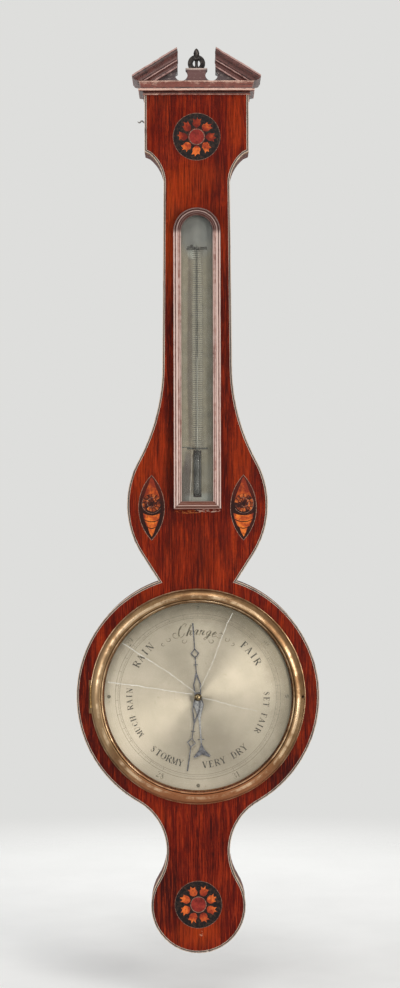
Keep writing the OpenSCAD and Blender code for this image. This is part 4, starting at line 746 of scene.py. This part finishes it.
def bar(p, q, w, w2=None):
    """A straight stroke from p to q, w wide, or w2 at its end."""
    dx, dz = q[0] - p[0], q[1] - p[1]
    d = hypot(dx, dz) or 1
    nx, nz = -dz / d / 2, dx / d / 2
    w2 = w if w2 is None else w2
    return [(p[0] + nx * w, p[1] + nz * w), (p[0] - nx * w, p[1] - nz * w),
            (q[0] - nx * w2, q[1] - nz * w2), (q[0] + nx * w2, q[1] + nz * w2)]


def ring(cx, cz, r, w, n):
    near, far = r - w / 2, r + w / 2
    return [[polar(cx, cz, k, t) for k, t in ((near, a), (far, a), (far, a + step), (near, a + step))]
            for step in [2 * pi / n] for a in circle(n)]


# Pateras
PETAL = [(9.6, 0.2), (10.4, 2.1), (12.4, 3.9), (14.6, 4.3), (16.5, 3.6), (19.2, 4.9), (18.1, 2.4), (18.6, 1.3),
         (21.2, 0.6), (18.9, -0.6), (18.3, -2.2), (18.9, -4.2), (16.2, -3.7), (14.2, -4.3), (12.1, -3.8), (10.3, -2.0)]
PETAL_WAIST = 14.5


def patera(which, z, turn, tones, hook):
    """Eight petals round an eye, in a dark ground; hook bends the petals' tips to one side."""
    inlay(which + "_patera_ground_inlay", [disc(0, z, 25.35, 120)], GROUND, ground_look,
          [which + "_patera_ground"])
    petals, shades = [], []
    for i in range(8):
        a = radians(90 - turn - 45 * i)
        ca, sa = cos(a), sin(a)
        petals.append([])
        for r, t in PETAL:
            t += hook * max(0, r - PETAL_WAIST) * (0.6 + 0.8 * ((i * 5) % 8) / 8)
            r, t = r + rng.uniform(-0.35, 0.35), t + rng.uniform(-0.3, 0.3)
            petals[-1].append((r * ca - t * sa, z + r * sa + t * ca))
        shades.append([tones[i] + (r - PETAL_WAIST) * 0.035 for r, t in PETAL])
    inlay(which + "_patera_petal_inlay", petals, SHAPE, petal_look, [which + "_patera_petals"], shades)
    inlay(which + "_patera_eye_inlay", [disc(0, z, 7.9, 64)], EYE, eye_look,
          [which + "_patera_centre"], [0.5])
    inlay(which + "_patera_lines", ring(0, z, 8.3, 0.6, 64) + ring(0, z, 25.2, 0.3, 96), LINE, pale_line)
    inlay(which + "_patera_dark_line", ring(0, z, 9.15, 0.95, 64), EYE, shell_ground)


patera("top", -86.3, 0, [0.2, 0.3, 0.25, 0.75, 0.8, 0.9, 0.2, 0.15], -0.32)
patera("bottom", -908.2, 22.5, [0.5, 0.6, 0.6, 0.5, 0.7, 0.9, 0.9, 0.7], 0.0)

# Shells, in ovals of two arcs
OVAL_HALF, OVAL_WIDTH = 14.2, 28.4
OVAL_R = (70.6 ** 2 + OVAL_WIDTH ** 2) / (4 * OVAL_WIDTH)


def oval(cx, cz, d, n=40):
    """The oval's outline, d inside its edge."""
    r, off = OVAL_R - d, OVAL_R - OVAL_HALF
    a = atan2(sqrt(r * r - off * off), off)
    return (curve(cx - off, cz, r, r, [-a + 2 * a * i / n for i in range(n + 1)])
            + curve(cx + off, cz, -r, r, [a - 2 * a * i / n for i in range(1, n)]))


def smile(cx, cz, top, low, half_top, half_low, sag, n=10):
    """A band across a shell that sags in its middle."""
    marks = [2 * i / n - 1 for i in range(n + 1)]
    upper = [(cx + half_top * t, cz + top - sag * (1 - t ** 2)) for t in marks]
    return upper + [(cx - half_low * t, cz + low - sag * (1 - t ** 2)) for t in marks]


def chambers(cx, cz, flip, start):
    """A spiral of chambers round a shell's mouth, each scorched at one end."""
    def reach(t):
        return min(10.3, 14.5 * exp(-0.095 * t))

    parts, tones = [], []
    for k in range(42):
        a, b = start + 0.5 * k, start + 0.5 * k + rng.uniform(0.38, 0.47)
        steps = [a + (b - a) * i / 4 for i in range(5)]
        outer = [(reach(t - start) + rng.uniform(-0.4, 0.1), t) for t in steps]
        inner = [(reach(t - start + 2 * pi) + rng.uniform(0.1, 0.8), t) for t in reversed(steps)]
        parts.append([(cx + flip * r * cos(t), cz + r * sin(t)) for r, t in outer + inner])
        base = rng.choice((0.1, 0.5, 0.65, 0.75, 0.95)) - 0.012 * k
        tones.append([base - 0.3 + 0.14 * i for i in range(5)] + [base - 0.4 + 0.14 * (4 - i) for i in range(5)])
    return parts, tones


def shell(side, cx, cz, slim):
    """A shell: a pointed cone above a spiral mouth, with two bands and a tip below; slim narrows the bands."""
    inlay(side + "_shell_ground_inlay", [oval(cx, cz, 0.05)], GROUND, shell_ground, [side + "_shell_ground"])
    cone = [(-9.2, 9), (-7.4, 14), (-5.2, 20), (-3.0, 25.5), (-1.6, 30.5), (0.2, 32.6), (1.9, 30.5), (3.6, 25.5),
            (5.4, 20), (7.8, 14), (9.6, 9), (0.4, 5)]
    tip = [(-4.2, -21.0), (-1.7, -22.6), (1.7, -22.6), (4.2, -21.0), (2.6, -26.4), (0.2, -31.0), (-2.2, -27)]
    parts = [[(cx + x, cz + z) for x, z in cone],
             smile(cx, cz, -5.9, -12.2, 10.8 * slim, 9.4 * slim, 2.4),
             smile(cx, cz, -13.4, -19.4, 8.9 * slim, 6.4 * slim, 2.2),
             [(cx + x, cz + z) for x, z in tip]]
    across = [0.15, 0.6, 0.8, 0.9, 0.95, 1.0, 0.95, 0.85, 0.75, 0.5, 0.15]
    tones = [[0.2, 0.25, 0.2, 0.1, 0.0, 0.0, 0.0, 0.0, 0.1, 0.2, 0.25, 0.35], across + across[::-1],
             across + across[::-1], [0.4, 0.8, 0.8, 0.4, 0.8, 0.9, 0.8]]
    inlay(side + "_shell_band_inlay", parts, SHAPE, shell_look, [side + "_shell_pieces"], tones)
    flip = -1 if side == "left" else 1
    mid_x, mid_z = cx + 0.3, cz + 4.4
    mouth = curve(mid_x, mid_z, 10.6, 10.4, circle(48))
    inlay(side + "_shell_mouth_inlay", [mouth], EYE, shell_ground)
    parts, tones = chambers(mid_x, mid_z, flip, -0.9)
    inlay(side + "_shell_whorl_inlay", parts, WHORL, whorl_look, tones=tones)
    lip = curve(mid_x, mid_z, flip * 10.5, 10.3, [radians(v) for v in range(-150, 40, 10)])
    curl = [(6.6 - 0.33 * i, 1.9 - 0.38 * i) for i in range(12)]
    curl = [(mid_x + flip * r * cos(t), mid_z + r * sin(t)) for r, t in curl]
    lines = [bar(p, q, 0.35) for p, q in list(zip(lip, lip[1:])) + list(zip(curl, curl[1:]))]
    edge, inner = oval(cx, cz, 0.1), oval(cx, cz, 0.6)
    n = len(edge)
    lines += [[edge[i], edge[(i + 1) % n], inner[(i + 1) % n], inner[i]] for i in range(n)]
    inlay(side + "_shell_outline", lines, OUTLINE, pale_line)


shell("left", -49.2, -483.3, 0.84)
shell("right", 49.2, -483.3, 1.0)

# ---------- dial ----------
# Glyphs, in hundredths of their height: the width, and strokes as x y x y, with T before a thick one
LETTERS = {
    "I": "34; T 17 0 17 100; 0 0 34 0; 0 100 34 100",
    "R": "78; T 15 0 15 100; 0 100 48 100 60 92; T 62 90 64 76 62 62; 60 60 48 52 15 52; T 40 52 72 2; 0 0 30 0; "
         "66 0 80 0",
    "A": "84; 12 0 42 100; T 42 100 72 0; 22 34 60 34; 0 0 24 0; 58 0 86 0",
    "N": "86; 14 0 14 100; T 12 100 72 0; 72 0 72 100; 0 0 28 0; 58 100 86 100; 0 100 14 100",
    "F": "66; T 16 0 16 100; 0 100 60 100 62 80; 16 52 44 52; 44 62 44 42; 0 0 34 0",
    "S": "56; 48 80 42 95 27 100 12 94; T 9 84 12 68 28 54 44 38 46 18; 44 10 30 0 14 4 5 22",
    "E": "68; T 16 0 16 100; 0 100 58 100 60 82; 16 52 42 52; 42 62 42 42; 0 0 60 0 64 20",
    "T": "72; T 36 0 36 100; 2 80 5 100 67 100 70 80; 20 0 52 0",
    "V": "84; T 12 100 42 0; 42 0 72 100; 0 100 26 100; 60 100 84 100",
    "Y": "82; T 12 100 42 46; 42 46 72 100; T 42 0 42 46; 0 100 26 100; 60 100 84 100; 26 0 58 0",
    "D": "82; T 16 0 16 100; 0 100 42 100 60 92; T 66 80 72 50 66 20; 60 8 42 0 0 0",
    "O": "84; T 12 78 7 50 12 22; T 72 22 77 50 72 78; 12 78 24 95 42 100 60 95 72 78; 12 22 24 5 42 0 60 5 72 22",
    "M": "98; 14 0 14 100; T 14 100 48 8; 48 8 82 100; T 84 100 84 0; 0 0 28 0; 70 0 98 0; 0 100 14 100",
    "U": "82; T 16 100 16 30 24 10; 24 10 40 0 56 6 66 28 66 100; 0 100 32 100; 54 100 80 100",
    "C": "72; 64 74 54 95 38 100 22 94; T 13 82 7 50 13 18; 22 6 40 0 56 6 66 24",
    "H": "88; T 16 0 16 100; T 70 0 70 100; 16 52 70 52; 0 0 32 0; 54 0 86 0; 0 100 32 100; 54 100 86 100",
    "0": "62; T 10 76 6 50 10 24; T 50 24 54 50 50 76; 10 76 20 96 30 100 40 96 50 76; 10 24 20 4 30 0 40 4 50 24",
    "1": "40; 4 84 20 100; T 22 100 22 0; 6 0 38 0",
    "2": "58; 6 76 12 94 28 100 42 94; T 50 80 46 60; 46 60 6 6; T 4 5 50 5; 50 5 56 20",
    "3": "56; 6 80 16 98 32 100 44 90; T 46 86 44 64; 42 60 20 52; T 46 42 50 24 42 8; 40 5 24 0 8 6 4 22",
    "8": "58; T 12 84 18 64 44 42 50 20; 44 84 40 64 12 40 8 20; 12 84 28 100 44 84; 8 20 16 4 30 0 44 4 50 20",
    "9": "58; T 8 82 8 60; 8 82 20 98 34 100 48 88; T 50 84 50 50 40 16; 40 16 26 0 10 6; 8 60 20 46 36 46 50 60",
    " ": "50",
}
SCRIPT = {
    "C": "100; 86 112 96 130 74 142 44 120; T 44 120 22 80 20 36 36 6; 36 6 56 -4 78 10 92 34",
    "h": "74; 4 0 34 70 50 124 38 130; T 34 120 14 0; 16 20 40 58 54 56; T 56 54 48 8; 48 8 60 0 76 16",
    "a": "62; 46 54 30 60 14 44; T 14 44 8 16; 8 16 18 0 34 14 48 50; T 50 58 42 10; 42 10 50 0 64 16",
    "n": "70; T 16 58 8 0; 10 20 32 56 46 56; T 50 54 42 8; 42 8 54 0 70 16",
    "g": "62; 46 54 30 60 14 44; T 14 44 10 16; 10 16 20 2 36 14 48 50; T 50 58 38 -30; "
         "38 -30 22 -52 4 -40 20 -18 64 14",
    "e": "56; 8 24 36 36 42 52 28 60; T 28 60 12 40 10 14; 10 14 22 0 40 4 58 20",
}


def glyph(text):
    """The width, and [(thick, points)], of a glyph in heights."""
    width, *strokes = text.split(";")
    lines = []
    for stroke in strokes:
        flat = [int(v) / 100 for v in stroke.replace("T", "").split()]
        lines.append(("T" in stroke, list(zip(flat[::2], flat[1::2]))))
    return int(width) / 100, lines


def lettering(word, clock, r, height, pitch=None, inward=False, font=LETTERS, slant=0.0, weight=0.2, spread=1.0):
    """Strokes of a word, centred on a clock angle at radius r. Tops point outwards unless inward."""
    glyphs = [glyph(font[ch]) for ch in word]
    widths = [width * height for width, lines in glyphs]
    if pitch is None:
        gap = height * 0.16 * spread
        starts, at = [], -(sum(widths) + gap * (len(word) - 1)) / 2
        for w in widths:
            starts.append(at)
            at += w + gap
    else:
        step = radians(pitch) * r
        starts = [(i - (len(word) - 1) / 2) * step - widths[i] / 2 for i in range(len(word))]
    strokes = []
    for (width, lines), start in zip(glyphs, starts):
        for thick, line in lines:
            placed = []
            for x, y in line:
                u = start + (x + slant * y) * height
                v = (y - 0.5) * height
                a = radians(clock) + (-u / r if inward else u / r)
                far = r - v if inward else r + v
                placed.append(clock_place(far, a))
            w = height * (weight if thick else weight * 0.33)
            strokes += [bar(p, q, w) for p, q in zip(placed, placed[1:])]
    return strokes


words = []
for word, clock, r, height, pitch, inward in [
    ("RAIN", -53, 74, 7.4, 6.0, False), ("FAIR", 51, 74, 7.4, 5.9, False), ("SET FAIR", 103.8, 73.5, 6.0, 4.6, False),
    ("MUCH RAIN", 256, 73.5, 6.0, 4.75, False), ("STORMY", 207.6, 73.5, 6.9, 5.1, True),
    ("VERY DRY", 156.2, 73.5, 6.9, 5.15, True),
]:
    words += lettering(word, clock, r, height, pitch, inward)
slabs("dial_words", words, DIAL_FRONT, DIAL_FRONT + 0.03, ink)


def spiral(x, z, r, start, sweep):
    """A flourish that winds inwards, thickest half-way."""
    line = [polar(x, DIAL_Z + z, r * (1 - 0.75 * i / 18), radians(start + sweep * i / 18)) for i in range(19)]
    return [bar(p, q, 0.5 * (0.6 + 0.8 * sin(pi * i / 18))) for i, (p, q) in enumerate(zip(line, line[1:]))]


script = lettering("Change", -1.8, 70.5, 9.6, None, False, SCRIPT, 0.35, 0.17, 0.5)
for side in (-1, 1):
    for x, z, r, start, sweep in [(24, 66, 4.5, 200, 300), (31, 61, 3.2, 20, -300), (15, 59.5, 3.4, 160, 280),
                                  (37.5, 56, 2.4, 200, 280)]:
        script += spiral(side * x, z, r, *((start, sweep) if side > 0 else (180 - start, -sweep)))
slabs("dial_script", script, DIAL_FRONT, DIAL_FRONT + 0.028, script_ink)

# The scale: 28 to 31 inches, with a mark for each hundredth
PER_INCH = 102.857
marks = []
for hundredth in range(301):
    a = radians((hundredth / 100 - 1.5) * PER_INCH)
    inner, outer = (83.8, 88.5) if hundredth % 10 == 0 else (83.8, 86.7) if hundredth % 5 == 0 else (84.0, 85.6)
    marks.append(bar(clock_place(inner, a), clock_place(outer, a), 0.3 if hundredth % 10 == 0 else 0.16))
for r, w in ((83.8, 0.28), (85.6, 0.16), (88.5, 0.32)):
    marks += ring(0, DIAL_Z, r, w, 180)
for i, label in enumerate(("28", "29", "30", "31")):
    clock = (i - 1.5) * PER_INCH
    marks += lettering(label, clock, 93.3, 6.2, None, abs(clock) > 90, weight=0.15)
slabs("dial_graduations", marks, DIAL_FRONT, DIAL_FRONT + 0.025, faint_ink)


def wander(points, w0, w1, steps=9, sway=0.35):
    """A crack through some points, w0 wide at first and w1 at last."""
    line = []
    for p, q in zip(points, points[1:]):
        for t in [i / steps for i in range(steps)]:
            line.append((p[0] + (q[0] - p[0]) * t + rng.uniform(-sway, sway),
                         p[1] + (q[1] - p[1]) * t + rng.uniform(-sway, sway)))
    line.append(points[-1])
    n = len(line) - 1
    widths = [w0 + (w1 - w0) * i / n for i in range(n + 1)]
    return [bar(*stroke) for stroke in zip(line, line[1:], widths, widths[1:])]


# Cracks in the dial's glass, from the dial's centre outwards
cracks = []
for line, w0, w1 in [
    ([(-2.7285, 5.029), (-30.0135, 25.359), (-80.3035, 57.459)], 0.4, 0.75),
    ([(-5.4035, 2.889), (-35.3635, 7.169), (-67.4635, 12.519), (-96.3535, 16.264)], 0.5, 0.9),
    ([(1.5515, 6.099), (15.5685, 36.273), (31.5115, 78.859), (37.3965, 89.559)], 0.35, 0.6),
    ([(5.2965, -0.856), (40.3925, -9.951), (63.0765, -15.301)], 0.55, 0.4),
]:
    cracks += wander([(x, DIAL_Z + z) for x, z in line], w0, w1)
slabs("glass_cracks", cracks, GLASS_FRONT, GLASS_FRONT + 0.03, crack_look, body="bezel")

# The face of the indicating hand's tail is rubbed bright; the hand stands at this clock angle
HAND_CLOCK, HAND_FRONT = radians(-3.9), 42.3
tail = [(-2.6, -3.4), (-4.9, -9), (-3.6, -14), (-1.4, -22), (-0.7, -30), (-0.5, -50)]
tail += [(-x, z) for x, z in reversed(tail)]
hand_c, hand_s = cos(HAND_CLOCK), sin(HAND_CLOCK)
tail = [(x * hand_c + z * hand_s, DIAL_Z - x * hand_s + z * hand_c) for x, z in tail]
slabs("hand_tail_face", [tail], HAND_FRONT, HAND_FRONT + 0.03, bright_steel, "hand")

# The thermometer's scale: rungs behind the tube, two rails, and longer marks low down
rungs = []
for i in range(106):
    z, fifth = -207.5 - 2.0 * i, i % 5 == 0
    half = 6.2 if fifth else 5.2
    rungs.append(bar((0.3 - half, z), (0.3 + half, z), 0.95 if fifth else 0.8))
rungs += [bar((-9, -412), (9.5, -412), 0.6), bar((-17, -419), (-7, -418.4), 1.4, 0.7),
          bar((-5.4, -206), (-5.4, -418), 0.35), bar((6.0, -206), (6.0, -418), 0.35)]
# Dark bars on the scale along the top clip's wire, wider than the wire
clip = [bar((-10.4, -204.4), (-1.5, -205.4), 1.3, 2.2), bar((2.5, -205.6), (11, -204.8), 2.2, 1.2)]
slabs("clip_dark_bars", clip, SCALE_FRONT, SCALE_FRONT + 0.06, iron)
slabs("clip_boss", [disc(-5.6, -203.6, 1.7, 24)], SCALE_FRONT, SCALE_FRONT + 0.08, iron)
box_front = 0.02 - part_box("thermometer_glass")[0][1] * 1000
box_crack_line = wander([(-5.7, -420.7), (-6.4, -448), (-8.2, -477.4)], 0.4, 0.5, 12, 0.12)
slabs("box_glass_crack", box_crack_line, box_front, box_front + 0.03, box_crack)
slabs("scale_marks", rungs, SCALE_FRONT, SCALE_FRONT + 0.03, rung_ink)


# ---------- knob, hook, threads and mercury ----------
STRAND_PITCH = 0.003
knob = [(0, 43.2), (0.9, 43.2), (0.9, 43.7), (1.2, 43.72), (1.2, 46.2), (2.2, 46.42), (2.45, 46.7), (2.35, 47.0),
        (1.7, 47.3), (1.75, 47.6)]
knob += [(4.08 * cos(a), 49.885 + 4.0 * sin(a)) for a in [radians(-54 + 9 * i) for i in range(14)]]
knob += [(1.3, 53.66), (0.7, 53.8), (0.3, 53.84), (0, 53.85)]
rows = [[b_place(r, depth, a) for r, depth in knob] for a in circle(64)]
piece("set_hand_knob_turned", [v for row in rows for v in row], loops(rows, True), knob_brass, "set_hand",
      ["set_hand_knob"], angle=40)


def tube(name, path, radius, look, body, gone=(), n=12, lobes=0.0, closed=False):
    """A round bar, or with lobes a twisted thread of two strands, along a path of points in metres."""
    rows, far = [], 0
    for i, p in enumerate(path):
        last = path[i - 1] if i or closed else p
        after = path[(i + 1) % len(path)] if i + 1 < len(path) or closed else p
        ahead = (after - last).normalized()
        side = ahead.orthogonal().normalized() if not rows else (side - side.dot(ahead) * ahead).normalized()
        up = ahead.cross(side)
        far += (p - path[i - 1]).length if i else 0
        twist = 2 * pi * far / STRAND_PITCH
        r = radius if isinstance(radius, float) else radius[i]
        rows.append([p + (side * cos(a) + up * sin(a)) * r * (1 - lobes + lobes * cos(2 * a - twist))
                     for a in circle(n)])
    return piece(name, [v for row in rows for v in row], loops(rows, closed), look, body, gone, angle=50)


hook = [point(*v) for v in (
    (-55.0, 22, -68.2), (-57.0, 22, -67.6), (-58.2, 22.2, -66.5), (-59.2, 22.6, -66.2), (-60.2, 23.2, -66.8),
    (-60.9, 24.2, -68.0), (-61.8, 25.2, -68.6), (-62.8, 26.0, -68.2), (-63.4, 26.4, -67.4))]
tube("side_hook", hook, [0.0009] * 5 + [0.0008, 0.0007, 0.0006, 0.0004], hook_steel, "case")


def drawn(name, node, look, rings, lobes=0.0):
    """An upright piece between the case and a body that slides, built round the box of a CAD node."""
    low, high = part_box(node)
    x, y = (Vector(low) + Vector(high)).xy / 2
    path = [Vector((x, y, low[2] + (high[2] - low[2]) * i / rings)) for i in range(rings + 1)]
    obj = tube(name, path, (high[0] - low[0]) / 2, look, None, [node], 12 if lobes else 40, lobes)
    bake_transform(obj)


drawn("float_silk", "float_thread", silk, 160, 0.22)
drawn("counterweight_silk", "counterweight_thread", silk, 60, 0.22)
drawn("short_limb_quicksilver", "short_limb_mercury", mercury, 1)
for name, node in (("float_winding", "float_thread"), ("counterweight_winding", "counterweight_thread")):
    low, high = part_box(node)
    depth, r = -(low[1] + high[1]) * 500, abs(low[0] + high[0]) * 500
    path = [b_place(r, depth, a) for a in circle(90)]
    tube(name, path, (high[0] - low[0]) / 2, silk, "hand", (), 10, 0.22, closed=True)

# ---------- studio ----------
floor_look = mottled("floor", 8, (0.3, (240, 240, 238)), (0.7, (246, 246, 244)), rough=0.9)
floor_look.see_through(floor_look.ease(floor_look.reach(floor_look.at((1, 1, 0))), 0.5, 1.4, 1, 0))
floor_mesh = bpy.data.meshes.new("floor")
floor_mesh.from_pydata([(-3, -3, -1.03), (3, -3, -1.03), (3, 3, -1.03), (-3, 3, -1.03)], [], [(0, 1, 2, 3)])
floor_mesh.materials.append(floor_look.mat)
add("floor", floor_mesh)

# The background is bright where it is seen or mirrored, and lights the scene less
world = bpy.data.worlds.new("studio")
bpy.context.scene.world = world
world.use_nodes = True
tree = world.node_tree
dim, seen = tree.nodes["Background"], tree.nodes.new("ShaderNodeBackground")
for backdrop, colour, strength in ((dim, srgb(214, 216, 218), 0.32), (seen, srgb(222, 222, 220), 1.0)):
    backdrop.inputs["Color"].default_value = colour
    backdrop.inputs["Strength"].default_value = strength
rays = tree.nodes.new("ShaderNodeLightPath")
shown = rays.outputs["Is Camera Ray"]
for kind in ("Is Transmission Ray", "Is Glossy Ray"):
    either = tree.nodes.new("ShaderNodeMath")
    either.operation = "MAXIMUM"
    tree.links.new(shown, either.inputs[0])
    tree.links.new(rays.outputs[kind], either.inputs[1])
    shown = either.outputs[0]
choose = tree.nodes.new("ShaderNodeMixShader")
for i, source in enumerate((shown, dim.outputs[0], seen.outputs[0])):
    tree.links.new(source, choose.inputs[i])
tree.links.new(choose.outputs[0], tree.nodes["World Output"].inputs["Surface"])


def lamp(name, where, target, size, power, colour=(1, 1, 1)):
    data = bpy.data.lights.new(name, "AREA")
    data.shape = "RECTANGLE"
    data.size, data.size_y = size
    data.energy = power
    data.color = colour
    obj = add(name, data)
    obj.location = where
    obj.rotation_euler = (Vector(target) - Vector(where)).to_track_quat("-Z", "Y").to_euler()
    obj.visible_camera = False
    return obj


lamp("key_right", (1.0, -1.75, -0.36), (0, -0.04, -0.5), (0.4, 1.0), 21, (1.0, 0.97, 0.92))
lamp("fill_left", (-1.5, -1.45, -0.15), (0, -0.04, -0.5), (0.6, 1.3), 14, (0.98, 0.98, 1.0))
lamp("top", (0.1, -1.7, 1.6), (0, -0.02, -0.5), (1.0, 0.8), 26)
lamp("back_fill", (0, 1.9, -0.3), (0, 0, -0.5), (1.4, 1.4), 36).visible_glossy = False

# The camera stands where the photo was taken from, and leans as it did
cam_data = bpy.data.cameras.new("camera")
cam_data.lens = 74.9
cam = add("camera", cam_data)
cam.location = (0.0027, -2.24, -0.4687)
cam.rotation_euler = (radians(90), radians(0.14), 0)
bpy.context.scene.camera = cam
bpy.context.scene.view_settings.view_transform = "Standard"
